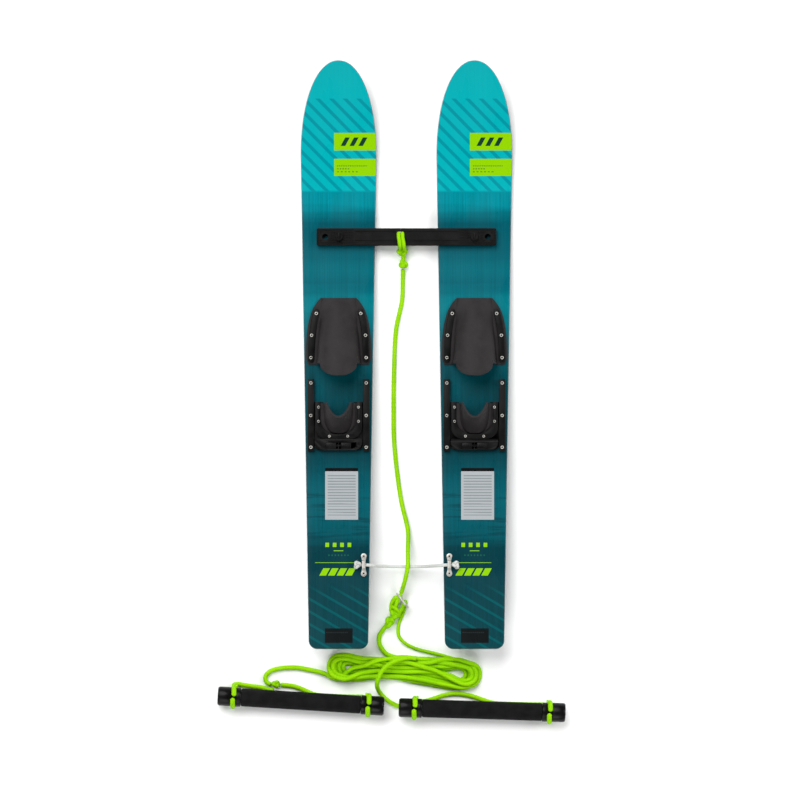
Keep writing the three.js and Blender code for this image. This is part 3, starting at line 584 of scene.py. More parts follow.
def refined(node, body, slot, material, bevel, name=None):
    """A copy of a CAD node with its flat faces made whole and its edges rounded."""
    work = bmesh.new()
    work.from_mesh(frame["nodes"][node].data)
    bmesh.ops.remove_doubles(work, verts=work.verts, dist=0.01 * MM)
    bmesh.ops.dissolve_limit(work, angle_limit=math.radians(1.5), verts=work.verts, edges=work.edges)
    mesh = bpy.data.meshes.new(name or f"{node}_finish")
    work.to_mesh(mesh)
    work.free()
    made = bpy.data.objects.new(mesh.name, mesh)
    bpy.context.scene.collection.objects.link(made)
    bevelled(made, bevel)
    applied(made)
    smooth(made)
    return fit(made, body, slot, material, node)


# ------------------------------------------------------------------ ropes
ROPE_SIDES = 18
ROPE_STEP = 1.8
BRAID_STRANDS = 6
BRAID_PITCH = 8.5


def rounded_route(route, step=ROPE_STEP):
    """A centripetal Catmull-Rom curve through the route, in even steps of that many millimetres."""
    points = np.array(route, float)
    points = np.vstack([2 * points[0] - points[1], points, 2 * points[-1] - points[-2]])
    fine = []
    for p0, p1, p2, p3 in zip(points, points[1:], points[2:], points[3:]):
        t1 = np.linalg.norm(p1 - p0) ** 0.5
        t2 = t1 + np.linalg.norm(p2 - p1) ** 0.5
        t3 = t2 + np.linalg.norm(p3 - p2) ** 0.5
        t = np.linspace(t1, t2, 25)[:-1, None]
        a1 = (t1 - t) / t1 * p0 + t / t1 * p1
        a2 = (t2 - t) / (t2 - t1) * p1 + (t - t1) / (t2 - t1) * p2
        a3 = (t3 - t) / (t3 - t2) * p2 + (t - t2) / (t3 - t2) * p3
        b1 = (t2 - t) / t2 * a1 + t / t2 * a2
        b2 = (t3 - t) / (t3 - t1) * a2 + (t - t1) / (t3 - t1) * a3
        fine.append((t2 - t) / (t2 - t1) * b1 + (t - t1) / (t2 - t1) * b2)
    return even_steps(np.vstack([*fine, points[-2:-1]]), step)


def even_steps(line, step):
    along = np.concatenate([[0.0], np.cumsum(np.linalg.norm(np.diff(line, axis=0), axis=1))])
    marks = np.linspace(0, along[-1], max(4, round(along[-1] / step)) + 1)
    return np.column_stack([np.interp(marks, along, line[:, axis]) for axis in range(3)])


def line_frames(line, closed):
    """Tangents and two steady cross directions along a line, without twist."""
    if closed:
        tangents = np.roll(line, -1, axis=0) - np.roll(line, 1, axis=0)
    else:
        tangents = np.gradient(line, axis=0)
    tangents /= np.linalg.norm(tangents, axis=1)[:, None]
    side = np.cross(tangents[0], (0.0, 0.0, 1.0))
    if np.linalg.norm(side) < 0.1:
        side = np.cross(tangents[0], (1.0, 0.0, 0.0))
    sides = []
    for tangent in tangents:
        side = side - tangent * side.dot(tangent)
        side = side / np.linalg.norm(side)
        sides.append(side)
    sides = np.array(sides)
    uprights = np.cross(tangents, sides)
    if closed:
        last = sides[-1] - tangents[0] * sides[-1].dot(tangents[0])
        slip = math.atan2(last.dot(uprights[0]), last.dot(sides[0]))
        turn = -slip * np.arange(len(line))[:, None] / len(line)
        sides, uprights = (sides * np.cos(turn) + uprights * np.sin(turn),
                           uprights * np.cos(turn) - sides * np.sin(turn))
    return sides, uprights


def points_around(line, radius, sides, closed=False):
    """Rings of points about a line; radius is one number, or one for each ring and side."""
    sides_way, up_way = line_frames(line, closed)
    turn = 2 * math.pi * np.arange(sides)[None, :, None] / sides
    ways = np.cos(turn) * sides_way[:, None, :] + np.sin(turn) * up_way[:, None, :]
    return (line[:, None, :] + np.asarray(radius)[..., None] * ways).reshape(-1, 3)


def crest(value):
    """Height across one strand, from 0 at its edges to 1 along its middle."""
    across = 2 * (value % 1.0) - 1
    return np.sqrt(np.clip(1 - across ** 2, 0, 1))


def rope_object(name, line, diameter, place, closed=False):
    """A braided rope along an evenly stepped line: strands cross over and under in relief."""
    count = len(line)
    step = np.linalg.norm(line[1] - line[0])
    along = np.arange(count)[:, None] * step
    turns = max(1, round(count * step / BRAID_PITCH))
    pitch = count * step / turns if closed else BRAID_PITCH
    sides = ROPE_SIDES
    around = np.arange(sides)[None, :] / sides
    rising = BRAID_STRANDS * around + along / pitch
    falling = BRAID_STRANDS * around - along / pitch
    over = (np.floor(rising) + np.floor(falling)) % 2 == 0
    relief = np.where(over, crest(rising), crest(falling))
    radius = diameter / 2 * (0.87 + 0.15 * relief)
    if not closed:
        ends = np.minimum(along, along[-1] - along) / (0.45 * diameter)
        radius = radius * np.sqrt(np.clip(1 - (1 - np.clip(ends, 0, 1)) ** 2, 0.06, 1))
    points = points_around(line, radius, sides, closed)
    made = new_object(name, points, ring_faces(count, sides, closed), place)
    add_rope_layers(made.data, relief, along, around, diameter)
    return smooth(made, 60)


def add_rope_layers(mesh, relief, along, around, diameter):
    """The strand relief as an attribute, and a UV map of length and girth in metres."""
    shape = relief.shape
    layer = mesh.attributes.new("relief", "FLOAT", "POINT")
    layer.data.foreach_set("value", relief.reshape(-1).astype(np.float32))
    length = np.broadcast_to(along, shape).reshape(-1) * MM
    girth = np.broadcast_to(around, shape).reshape(-1) * diameter * math.pi * MM
    corners = np.zeros(len(mesh.loops), np.int32)
    mesh.loops.foreach_get("vertex_index", corners)
    uv = mesh.uv_layers.new(name="rope")
    uv.data.foreach_set("uv", np.column_stack([length[corners], girth[corners]]).reshape(-1))


def knot_line(centre, radii, spin, step=1.5):
    """A trefoil, the path of a tightened overhand knot, as large as the radii say, turned about Z."""
    turn = np.linspace(0, 2 * math.pi, 240)
    across = (np.sin(turn) + 2 * np.sin(2 * turn)) / 3
    along = (np.cos(turn) - 2 * np.cos(2 * turn)) / 3
    path = np.column_stack([across, along, -np.sin(3 * turn)]) * np.array(radii)
    path = path @ np.array(Matrix.Rotation(-spin, 3, "Z"))
    return even_steps(path + np.array(centre), step)[:-1]


def knot_object(name, centre, outer, diameter, spin, place):
    """A tightened knot whose outside reaches the outer radii."""
    radii = [max(2.5, reach - diameter / 2) for reach in outer]
    return rope_object(name, knot_line(centre, radii, spin), diameter, place, closed=True)


# ------------------------------------------------------------------ skis
BOARD_RIM = [("base", 0.0, 2.2), ("base", 0.6, 0.6), ("base", 2.2, 0.0),
             ("deck", 3.2, 0.0), ("deck", 0.9, 0.9), ("deck", 0.0, 3.2)]
TUNNEL_COLUMNS = (0.0, 0.45, 0.914, 1.0)
OUTER_COLUMNS = 3


def plan_rows():
    """Half width, station and outward normal down the right-hand edge of the plan, tail to tip."""
    rows = []
    corner = BOARD["tail_corner"]
    for step in range(9):
        turn = math.pi / 2 * step / 8
        half = BOARD["tail_half"] - corner * (1 - math.sin(turn))
        rows.append((half, corner * (1 - math.cos(turn)), math.sin(turn), -math.cos(turn)))
    for step in range(1, 60):
        share = step / 60
        half = BOARD["tail_half"] + (BOARD["front_half"] - BOARD["tail_half"]) * share
        rows.append((half, corner + (BOARD["widest_at"] - corner) * share, 1.0, 0.0))
    tip_length = BOARD["length"] - BOARD["widest_at"]
    power = BOARD["tip_power"]
    for step in range(27):
        turn = math.radians(89) * step / 26
        across, along = math.cos(turn) ** (2 / power), math.sin(turn) ** (2 / power)
        normal = Vector((across ** (power - 1) / BOARD["front_half"], along ** (power - 1) / tip_length))
        normal.normalize()
        rows.append((BOARD["front_half"] * across, BOARD["widest_at"] + tip_length * along, *normal))
    return rows


def board_thickness(s):
    tail = min(1.0, s / BOARD["tail_taper"])
    tip = max(0.0, (s - BOARD["tip_taper_from"]) / (BOARD["length"] - BOARD["tip_taper_from"]))
    grown = BOARD["tail_thickness"] + (DECK_TOP - BOARD["tail_thickness"]) * tail
    return grown - (DECK_TOP - BOARD["tip_thickness"]) * tip


def board_object(name, hand):
    """A pressed board: round-edged deck, turned-up tip and a tunnel under the rear two thirds."""
    rows = plan_rows()
    half_columns = len(TUNNEL_COLUMNS) - 1 + OUTER_COLUMNS

    def spot(row, col, level):
        half, station, across, along = rows[row]
        side, rise, inset = BOARD_RIM[level]
        edge = max(0.3, half - inset * across)
        s = station - inset * along
        inner = min(BOARD["tunnel_base_half"], 0.6 * edge)
        out = abs(col - half_columns)
        if out < len(TUNNEL_COLUMNS):
            x = inner * TUNNEL_COLUMNS[out]
        else:
            x = inner + (edge - inner) * (out - len(TUNNEL_COLUMNS) + 1) / OUTER_COLUMNS
        if side == "deck":
            z = base_height(s) + board_thickness(s) - rise
        else:
            z = base_height(s) + rise
            if level == 0 and out < len(TUNNEL_COLUMNS) - 1:
                fade = min(1.0, max(0.0, (BOARD["tunnel_end"] - s) / 50))
                z += BOARD["tunnel_depth"] * fade * fade * (3 - 2 * fade)
        return (math.copysign(x, col - half_columns), s, z)

    place = ski_frame(hand)
    made = new_object(name, *mapped_box(len(rows) - 1, 2 * half_columns, len(BOARD_RIM) - 1, spot), place)
    paint_by_plan(made, place)
    return smooth(made, 40)


def paint_by_plan(obj, place):
    """A UV map of plan metres for the print, and the base material on all but the deck."""
    back = place.inverted()
    uv = obj.data.uv_layers.new(name="deck")
    for loop in obj.data.loops:
        x, s, _ = back @ obj.data.vertices[loop.vertex_index].co
        uv.data[loop.index].uv = (x * MM, s * MM)
    up = (place.to_3x3() @ Vector((0, 0, 1))).normalized()
    base_faces = [face for face in obj.data.polygons if face.normal.dot(up) < 0.55]
    for face in base_faces:
        face.material_index = 1


def make_boards():
    for name, hand in HANDS:
        board = board_object(f"{name}_board", hand)
        board.data.materials.append(MATERIALS["deck"])
        board.data.materials.append(MATERIALS["base"])
        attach(board, "root")
        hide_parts(f"{name}_ski_board")


# ------------------------------------------------------------------ toe piece
TOE_OUTLINE = rounded_route([(s, half, 0) for s, half in TOE_EDGE], 2.0)
TOE_FLANGE_COLUMNS = 7
TOE_UNDER = DECK_TOP + 0.3


def toe_object(name, place):
    """A rubber dome over the toes in one skin with its flange, and a rolled rim round the instep."""
    rows, cols, levels = 44, 64, 4
    foot_at = 1 - 2 * TOE_FLANGE_COLUMNS / cols
    all_rear = TOE["rear"] - TOE["tongue"] - 6

    def dome_half(s):
        edge = float(np.interp(s, TOE_OUTLINE[:, 0], TOE_OUTLINE[:, 1]))
        return min(TOE["half"] + TOE["flare"] * (TOE["half_at"] - s), edge - 3), edge

    def spot(row, col, level):
        way = 1 if 2 * col >= cols else -1
        out = abs(2 * col / cols - 1)
        flange_share = max(0.0, (out - foot_at) / (1 - foot_at))
        turn = math.pi / 2 * (1 - min(1.0, out / foot_at))
        across = max(0.0, math.cos(turn)) ** (2 / TOE["power"])
        up = math.sin(turn) ** (2 / TOE["power"])
        reach = dome_half(TOE["rear"])[0] * across / TOE["tongue_half"]
        rear = TOE["rear"] - TOE["tongue"] * math.sqrt(max(0.0, 1 - reach ** 2))
        s = rear + (TOE["front"] - rear) * row / rows
        half, edge = dome_half(s)
        grown = max(0.0, (TOE["dome_front"] - s) / (TOE["dome_front"] - all_rear))
        top = TOE_UNDER + 4 + TOE["height"] * grown ** 0.8
        soft = min(1.0, max(0.0, (s - TOE["soft_from"]) / (TOE["front"] - TOE["soft_from"])))
        bell = min(1.0, out / foot_at)
        across += (bell - across) * soft
        up += (math.cos(math.pi / 2 * bell) ** 2 - up) * soft
        wall = min(TOE["wall"], 0.45 * (top - TOE_UNDER))
        rim = s - rear
        bead = 1.1 * math.exp(-(rim / 3.2) ** 2) - 0.45 * math.exp(-((rim - 8.5) / 2.2) ** 2)
        depth = level / levels
        flange_top = TOE_UNDER + TOE["flange"]
        outer = (half * across + bead * across, flange_top + (top - flange_top + bead) * up)
        inner = ((half - wall) * across, TOE_UNDER + (top - wall - TOE_UNDER) * up)
        if flange_share > 0:
            fillet = 3.2 * (1 - flange_share) ** 6
            outer = (half + (edge - half) * flange_share, flange_top + fillet)
            inner = (half - wall + (edge - half + wall) * flange_share, TOE_UNDER)
        x = inner[0] + (outer[0] - inner[0]) * depth
        z = inner[1] + (outer[1] - inner[1]) * depth
        swell = 1.2 * math.sin(math.pi * depth)
        s += swell * (row == rows) - swell * (row == 0)
        x += swell * (col in (0, cols))
        return (way * x, s, z)

    made = new_object(name, *mapped_box(rows, cols, levels, spot), place)
    return smooth(made, 50)


def make_toe_pieces():
    for name, hand in HANDS:
        toe = toe_object(f"{name}_toe_dome", ski_frame(hand))
        fit(toe, "root", "rubber", "rubber", f"{name}_toe_rubber")
        for where in ("outer", "inner"):
            refined(f"{name}_toe_strip_{where}", "root", "black_plastic", "black_plastic", 1.1)


# ------------------------------------------------------------------ heel unit
def cup_plan(share, half, rear, front, powers):
    """A point and outward normal round the cup, share 0 to 1 from one front end to the other.

    Two high powers, across and along, make a squared U; a low one along it flares the sides.
    """
    def point(at):
        turn = math.pi * min(1.0, max(0.0, at))
        across = math.copysign(abs(math.cos(turn)) ** (2 / powers[0]), math.cos(turn))
        return Vector((-half * across, front - (front - rear) * math.sin(turn) ** (2 / powers[1])))

    along = point(share + 0.004) - point(share - 0.004)
    return point(share), Vector((along.y, -along.x)).normalized()


def cup_share(share):
    """Spreads the columns evenly along the cup's long sides."""
    turn = 2 * math.pi * share
    return share + 0.1 * math.sin(2 * turn) / (2 * math.pi) - 0.12 * math.sin(turn) / math.pi


def cup_object(name, place):
    """A rubber heel cup that leans forward as it rises, with a thick rim, on its clamped flange."""
    rows, cols, levels = 18, 52, 4

    def wall_spot(row, col, level):
        rise = row / rows
        half = CUP["half"] - CUP["narrowing"] * rise
        rear = CUP["rear"] + CUP["lean"] * rise ** 1.2
        powers = [low + (high - low) * rise for low, high in zip(CUP["base"], CUP["rim"])]
        point, normal = cup_plan(cup_share(col / cols), half, rear, CUP["front"] - 2.5 * rise, powers)
        bead = 1.2 * math.exp(-((1 - rise) / 0.045) ** 2)
        thick = CUP["wall"] * (1 - 0.2 * rise)
        point = point + normal * (bead * level / levels - thick * (1 - level / levels))
        swell = 1.7 * math.sin(math.pi * level / levels)
        drop = 0.45 * max(0.0, point.y - CUP["rear"] - CUP["lean"])
        z = DECK_TOP + 0.5 + rise * (CUP["height"] - drop) + swell * (row == rows)
        return (point.x, point.y + swell * (col in (0, cols)), z)

    def flange_spot(row, col, level):
        share = cup_share(col / cols)
        point, normal = cup_plan(share, CUP["half"], CUP["rear"], CUP["front"], CUP["base"])
        point = point + normal * (CUP["flange_reach"] * row / 4 - 1.5)
        fillet = 2.6 * max(0.0, 1 - row / 2) ** 2 * (level == 1)
        return (point.x, point.y, CUP["flange_low"] + CUP["flange"] * level + fillet)

    wall = new_object(f"{name}_wall", *mapped_box(rows, cols, levels, wall_spot), place)
    flange = new_object(f"{name}_flange", *mapped_box(4, cols, 1, flange_spot), place)
    return smooth(joined(name, [wall, flange]), 50)


def latch_spring(name, side, place):
    """The short return spring between the housing's middle rib and a button."""
    turn = np.linspace(0, 2 * math.pi * SPRING["coils"], 90)
    out = SPRING["from"] + SPRING["length"] * turn / turn[-1]
    along = SPRING["station"] + SPRING["radius"] * np.cos(turn)
    up = SPRING["z"] + SPRING["radius"] * np.sin(turn)
    return wire_object(name, np.column_stack([side * out, along, up]), SPRING["wire"], place)


def make_heel_units():
    for name, hand in HANDS:
        body = f"{name}_heel"
        refined(f"{name}_heel_carriage", body, "black_plastic", "black_plastic", 0.8)
        refined(f"{name}_heel_clamp", body, "black_plastic", "black_plastic", 0.7)
        cup = cup_object(f"{name}_cup", ski_frame(hand))
        fit(cup, body, "rubber", "rubber", f"{name}_heel_cup")
        for where, side in (("outer", hand), ("inner", -hand)):
            refined(f"{name}_heel_rail_{where}", "root", "black_plastic", "black_plastic", 0.8)
            button = f"{name}_latch_{where}"
            refined(button, button, "black_plastic", "button_plastic", 0.7)
            make_button_ridges(f"{button}_ridges", side, ski_frame(hand), button)
            spring = latch_spring(f"{button}_spring", side, ski_frame(hand))
            fit(spring, body, "steel", "spring")
            press_spring(spring)


def make_button_ridges(name, side, place, body):
    """Four low finger ridges on a button's top."""
    ridges = []
    rear, front, half = RIDGES["rear"], RIDGES["front"], RIDGES["half"]
    for number in range(RIDGES["count"]):
        x = side * (RIDGES["first"] + RIDGES["pitch"] * number)
        outline = [(x - half, rear), (x + half, rear), (x + half, front), (x - half, front)]
        ridge = prism_object(f"{name}_{number}", outline, RIDGES["low"], RIDGES["high"], place)
        ridges.append(applied(bevelled(ridge, RIDGES["half"] / 2)))
    fit(smooth(joined(name, ridges)), body, "black_plastic", "button_plastic")


def press_spring(spring):
    """Gives the spring its own copy of its mesh."""
    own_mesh(spring)


def wire_object(name, line, radius, place, sides=8):
    """A plain round wire along a line, with flat ends."""
    points = points_around(line, radius, sides)
    return smooth(new_object(name, points, ring_faces(len(line), sides, False), place), 60)


# ------------------------------------------------------------------ bar, knobs and studs
POCKET = {"pitch": 5.2, "size": 3.7, "depth": 1.4, "from": 107, "rows": 6}
UPRIGHT = Matrix.Rotation(-math.pi / 2, 4, "Y")


def box_points(centre, half):
    """A box's corners and faces, for a cutter."""
    corners = [tuple(c + h * way for c, h, way in zip(centre, half, ways))
               for ways in ((-1, -1, -1), (1, -1, -1), (1, 1, -1), (-1, 1, -1),
                            (-1, -1, 1), (1, -1, 1), (1, 1, 1), (-1, 1, 1))]
    return corners, [(0, 1, 2, 3), (4, 5, 6, 7), (0, 1, 5, 4), (1, 2, 6, 5), (2, 3, 7, 6), (3, 0, 4, 7)]


def pocket_centres():
    """The waffle grid at each end of the bar, clear of the holes' round bosses."""
    centres = []
    for side in (-1, 1):
        for column in range(14):
            for row in range(POCKET["rows"]):
                x = POCKET["from"] + POCKET["pitch"] * column
                s = BAR["station"] + POCKET["pitch"] * (row - (POCKET["rows"] - 1) / 2)
                clear = [math.hypot(x - at, s - BAR["station"]) > reach
                         for at, reach in ((BAR["knob_at"], 11), (BAR["spare_at"], 9.6))]
                if all(clear):
                    centres.append((side * x, s))
    return centres


def pocket_cutter():
    """The waffle pockets at the bar's ends and the two long grooves between its knobs."""
    bodies = []
    half = (POCKET["size"] / 2, POCKET["size"] / 2, POCKET["depth"])
    for x, s in pocket_centres():
        bodies.append(new_object("cut", *box_points((x, s, BAR["high"]), half), DECK))
    for way in (-1, 1):
        groove = box_points((0, BAR["station"] + 9 * way, BAR["high"]), (102, 2.4, 1.5))
        bodies.append(new_object("cut", *groove, DECK))
    return joined("pocket_cutter", bodies)


def hole_cutter():
    """The knobs' holes, the spare holes and the rope's hole."""
    bodies = []
    places = [(side * at, BAR["station"], BAR["hole"])
              for side in (-1, 1) for at in (BAR["knob_at"], BAR["spare_at"])]
    for x, s, radius in [*places, ROPE_HOLE]:
        ring = [(x + radius * math.cos(turn), s + radius * math.sin(turn))
                for turn in (2 * math.pi * step / 40 for step in range(40))]
        bodies.append(prism_object("cut", ring, 5, 40, DECK))
    return joined("hole_cutter", bodies)


def make_bar():
    """The cross bar: a beam with long grooves, and at its ends a waffle grid round the holes."""
    rear, front = BAR["station"] - BAR["width"] / 2, BAR["station"] + BAR["width"] / 2
    half, chamfer = BAR["half"], 2
    inner, low, high = half - chamfer, rear + chamfer, front - chamfer
    outline = [(-inner, rear), (inner, rear), (half, low), (half, high),
               (inner, front), (-inner, front), (-half, high), (-half, low)]
    bar = applied(bevelled(prism_object("cross_bar", outline, BAR["low"], BAR["high"], DECK), 1.3, 3))
    cut_by(bar, pocket_cutter())
    cut_by(bar, hole_cutter())
    fit(smooth(bar, 32), "bar", "black_plastic", "black_plastic", "trainer_bar")


def make_knobs():
    """Turn knobs: a round cap with a bore over the stud, a finger wing and two dished flanks."""
    low = BAR["high"] + 0.3
    cap = [(3.9, low), (7.9, low), (8.5, low + 0.6), (8.5, low + 4.4), (8.1, low + 5.6), (7.2, low + 6.4),
           (0, low + 6.5), (0, BAR["high"] + 5.4), (3.9, BAR["high"] + 5.4)]
    for name, hand in HANDS:
        place = DECK @ Matrix.Translation((hand * BAR["knob_at"], BAR["station"], 0))
        disc = new_object(f"{name}_disc", *turned(cap), place @ UPRIGHT, weld=True)
        wing = new_object(f"{name}_wing", *mapped_box(16, 6, 6, wing_spot), place)
        fit(smooth(joined(f"{name}_knob_cap", [disc, wing])), f"{name}_knob", "black_plastic",
            "button_plastic", f"{name}_bar_knob")
        refined(f"{name}_bar_stud", "root", "steel", "steel", 0.3)


def wing_spot(row, col, level):
    """A finger wing: pinched thin at its middle, thick at its rounded ends."""
    along = 2 * row / 16 - 1
    across = 2 * col / 6 - 1
    rise = level / 6
    s = 7.9 * math.sin(along * math.pi / 2)
    thick = (1.5 + 0.9 * along ** 2) * (1 - 0.2 * rise)
    round_end = math.sqrt(max(0.0, 1 - max(0.0, abs(along) - 0.8) ** 2 / 0.05))
    x = thick * across * (0.35 + 0.65 * round_end) * (1 - 0.25 * (level == 6))
    z = BAR["high"] + 6 + 6.3 * rise - 1.6 * along ** 2 * rise - 0.35 * across ** 2 * (level == 6)
    return (x, s, z)


# ------------------------------------------------------------------ screws, plates and fins
SCREW_PROFILE = [(3.3, -0.3, False), (3.4, 0.35, False), (3.15, 1.15, False), (2.7, 1.6, False),
                 (2.2, 1.75, False), (2.0, 1.6, True), (1.8, 0.4, True), (0.4, 0.2, False)]
# Each row of screws on one side of a ski: its places, the height of its seats and the size of its heads.
SCREW_ROWS = {"toe": ([(44, 664), (53.2, 620.7), (54.6, 576.4)], 22.6, 1.0),
              "rail": ([(54.7, 526), (54.7, 461.5), (54.7, 398.6)], 24.3, 1.0),
              "heel": ([(39.4, 477.9), (39.4, 449.9), (18.1, 420.4)], 28.1, 0.82)}
SCREW_SIDES = 24
SOCKET_FROM = 5


def screws_object(name, places, frame_place, scale):
    """Round-headed screws with hexagon sockets; each place is (x, s, z, +1 head up or -1 down)."""
    points, faces = [], []
    screw_faces = ring_faces(len(SCREW_PROFILE), SCREW_SIDES, False)
    for x, s, z, way in places:
        start = len(points)
        for radius, rise, hexed in SCREW_PROFILE:
            for step in range(SCREW_SIDES):
                turn = 2 * math.pi * step / SCREW_SIDES
                flat = math.cos(math.pi / 6) / math.cos(turn % (math.pi / 3) - math.pi / 6) if hexed else 1.0
                reach = radius * flat * scale
                across, along = reach * math.cos(turn), reach * math.sin(turn)
                points.append((x + across, s + along, z + way * rise * scale))
        faces += [tuple(start + corner for corner in face) for face in screw_faces]
    return smooth(new_object(name, points, faces, frame_place), 30)


def paint_socket_shade(screws):
    """Gives the sockets' walls and floors a near-black material, painted shade in the hex sockets."""
    screws.data.materials.append(MATERIALS["socket_shade"])
    walls = (len(SCREW_PROFILE) - 1) * SCREW_SIDES
    for number, face in enumerate(screws.data.polygons):
        within = number % (walls + 2)
        in_socket = SOCKET_FROM * SCREW_SIDES <= within < walls
        face.material_index = 1 if in_socket or within == walls + 1 else 0


def add_screws(name, places, frame_place, body, scale=1.0):
    screws = screws_object(name, places, frame_place, scale)
    paint_socket_shade(fit(screws, body, "steel", "steel"))


def make_screws():
    plate_x, reach = TETHER["plate_at"], TETHER["screw_reach"]
    for name, hand in HANDS:
        place = ski_frame(hand)
        for part, (row, z, scale) in SCREW_ROWS.items():
            body = f"{name}_heel" if part == "heel" else "root"
            places = [(side * x, s, z, 1) for x, s in row for side in (-1, 1)]
            add_screws(f"{name}_{part}_screws", places, place, body, scale)
        add_screws(f"{name}_fin_screws", [(0, s, 0, -1) for s in FIN["screws"]], place, "root")
        plate = [(hand * plate_x, TETHER["station"] + way * reach, TETHER["screw_z"], 1) for way in (-1, 1)]
        add_screws(f"{name}_plate_screws", plate, DECK, "root")


def make_plates_and_fins():
    for name, _ in HANDS:
        refined(f"{name}_line_plate", "root", "steel", "steel", 0.5)
        refined(f"{name}_fin", "root", "black_plastic", "black_plastic", 0.9)


# ------------------------------------------------------------------ handles
LASHING_TAIL = [(3, 17.5, 9), (4.5, 21, 11.4), (6.5, 24.5, 12.4)]


def handle_frame(name):
    place, heading, rise = HANDLES[name]
    return (FLOOR @ Matrix.Translation(place) @ Matrix.Rotation(heading, 4, "Z")
            @ Matrix.Rotation(rise, 4, "Y"))


def cap_profile(side):
    bore = HANDLE["tube"] + 0.3
    cap, inner, end, groove = HANDLE["cap"], HANDLE["cap_inner"], HANDLE["end"], HANDLE["groove"]
    at, half = HANDLE["lashing"], HANDLE_ROPE / 2 + 0.5
    profile = [(0, 151), (bore, 151), (bore, inner), (cap - 1, inner), (cap, inner + 1.5), (cap, at - half),
               (groove, at - half + 0.4), (groove, at + half - 0.4), (cap, at + half), (cap, end - 4),
               (cap - 0.9, end - 1.6), (cap - 2.8, end), (13.4, end), (12.4, end - 1.3), (5, end - 1.3),
               (4.2, end - 0.5), (0, end - 0.5)]
    return [(radius, side * along) for radius, along in profile]


def lashing_line(side):
    """One wrap of rope in the cap's groove, its two ends meeting in a pinch on top."""
    radius = HANDLE["groove"] + 0.3 + HANDLE_ROPE / 2
    turn = np.radians(np.linspace(4.5, 355.5, 90))
    bow = 1.0 * np.cos(turn / 2) ** 8 * np.sign(np.pi - turn)
    line = np.column_stack([side * HANDLE["lashing"] + bow, radius * np.sin(turn), radius * np.cos(turn)])
    return even_steps(line, ROPE_STEP)


def make_handles():
    for name in HANDLES:
        place = handle_frame(name)
        reach, grip, bore = HANDLE["grip_half"], HANDLE["grip"], HANDLE["tube"] + 0.3
        grip_profile = [(bore, -reach), (grip - 2, -reach), (grip - 0.6, 0.8 - reach), (grip, 2.6 - reach),
                        (grip, reach - 2.6), (grip - 0.6, reach - 0.8), (grip - 2, reach), (bore, reach)]
        sleeve = new_object(f"{name}_grip_sleeve", *turned(grip_profile), place, weld=True)
        fit(smooth(sleeve, 40), "root", "grip_foam", "grip_foam", f"{name}_handle_grip")
        half, tube, hollow = HANDLE["tube_half"], HANDLE["tube"], HANDLE["tube_bore"]
        core = [(hollow, -half), (tube, -half), (tube, half), (hollow, half)]
        core_tube = bevelled(new_object(f"{name}_core_tube", *turned(core), place, weld=True), 0.3)
        fit(smooth(applied(core_tube)), "root", "aluminium", "aluminium", f"{name}_handle_tube")
        for end, side in (("left", -1), ("right", 1)):
            cap = new_object(f"{name}_{end}_end_cap", *turned(cap_profile(side)), place, weld=True)
            smooth(applied(bevelled(cap, 0.5)))
            fit(cap, "root", "gloss_black", "gloss_black", f"{name}_handle_{end}_cap")
            line = lashing_line(side)
            wrap = rope_object(f"{name}_{end}_wrap", line, HANDLE_ROPE * 1.08, place)
            fit(wrap, "root", *LIME, f"{name}_handle_{end}_lashing")
            stub = [(side * (HANDLE["lashing"] - inward), out, up) for inward, out, up in LASHING_TAIL]
            tail = rope_object(f"{name}_{end}_stub", rounded_route(stub), 5.6, place)
            fit(tail, "root", *LIME)


# ------------------------------------------------------------------ ropes on the floor
TOW_ROUTE = [(-6.9, 753, 7.2), (-7.4, 735, 5), (-8.9, 691, 4.4), (-20.8, 631.6, 4.4), (-24.8, 552.3, 4.4),
             (-25.8, 473, 4.4), (-24.8, 413.5, 4.4), (-16.9, 334.1, 4.4), (-9, 285, 4.8), (2.5, 235, 9),
             (2.5, 195.3, 19), (2.2, 162, 26.6), (-3, 135.8, 22.5), (-8, 118, 15.5), (-11.3, 108.6, 12.5)]
RING = {"place": (-8.1, 95.5, 19.6), "radius": 17.4, "wire": 2.1, "heading": math.atan2(-30.7, 24.2)}
KNOT_ROUTE = [(-36.5, 49.5, 8.4), (-43, 42.4, 6.5), (-47.5, 36, 4.8), (-54.5, 25, 4.6), (-54.3, 9.5, 4.6),
              (-48, -1.5, 5.5), (-40.5, -10.5, 7)]
THIN_ROUTE = [(-4.6, 75.5, 5.5), (-10.5, 62, 3.5), (-16.5, 44, 3.4), (-16, 26.5, 3.4), (-5.6, 12.9, 3.4),
              (10.9, 3, 3.4), (31.9, -4, 3.4), (46, -7.2, 4), (56, -9.5, 5), (68, -12.5, 7),
              (82, -16.5, 11), (98, -21, 15)]
LEFT_LEAD_ROUTE = [(-161.5, -49.5, 5.5), (-172, -46.5, 4.8), (-189.4, -42.6, 4.6), (-219.7, -37.5, 4.6),
                   (-252.8, -39.6, 4.6), (-270.5, -45, 4.6), (-280.5, -56, 4.6), (-278, -67, 5.5),
                   (-268, -71.5, 7)]
BRIDLE_KNOT = (-259, -70.4, 8)
LEFT_NEAR_ROUTE = [(-263, -80, 6.5), (-268.5, -82, 5), (-276, -80, 4.6), (-290, -76.5, 4.6),
                   (-308.4, -74.2, 4.6), (-324, -71.8, 4.6), (-335, -70.2, 4.6), (-341.5, -71.6, 5.4),
                   (-343, -75.5, 8.6)]
LEFT_FAR_ROUTE = [(-250.2, -71.6, 7), (-240, -72.3, 4.8), (-219.7, -75.6, 4.6), (-199.5, -83.5, 4.6),
                  (-182, -90.8, 4.6), (-150, -93.6, 4.6), (-118, -95.2, 4.6), (-95, -95.3, 4.6),
                  (-81, -95.8, 4.6)]
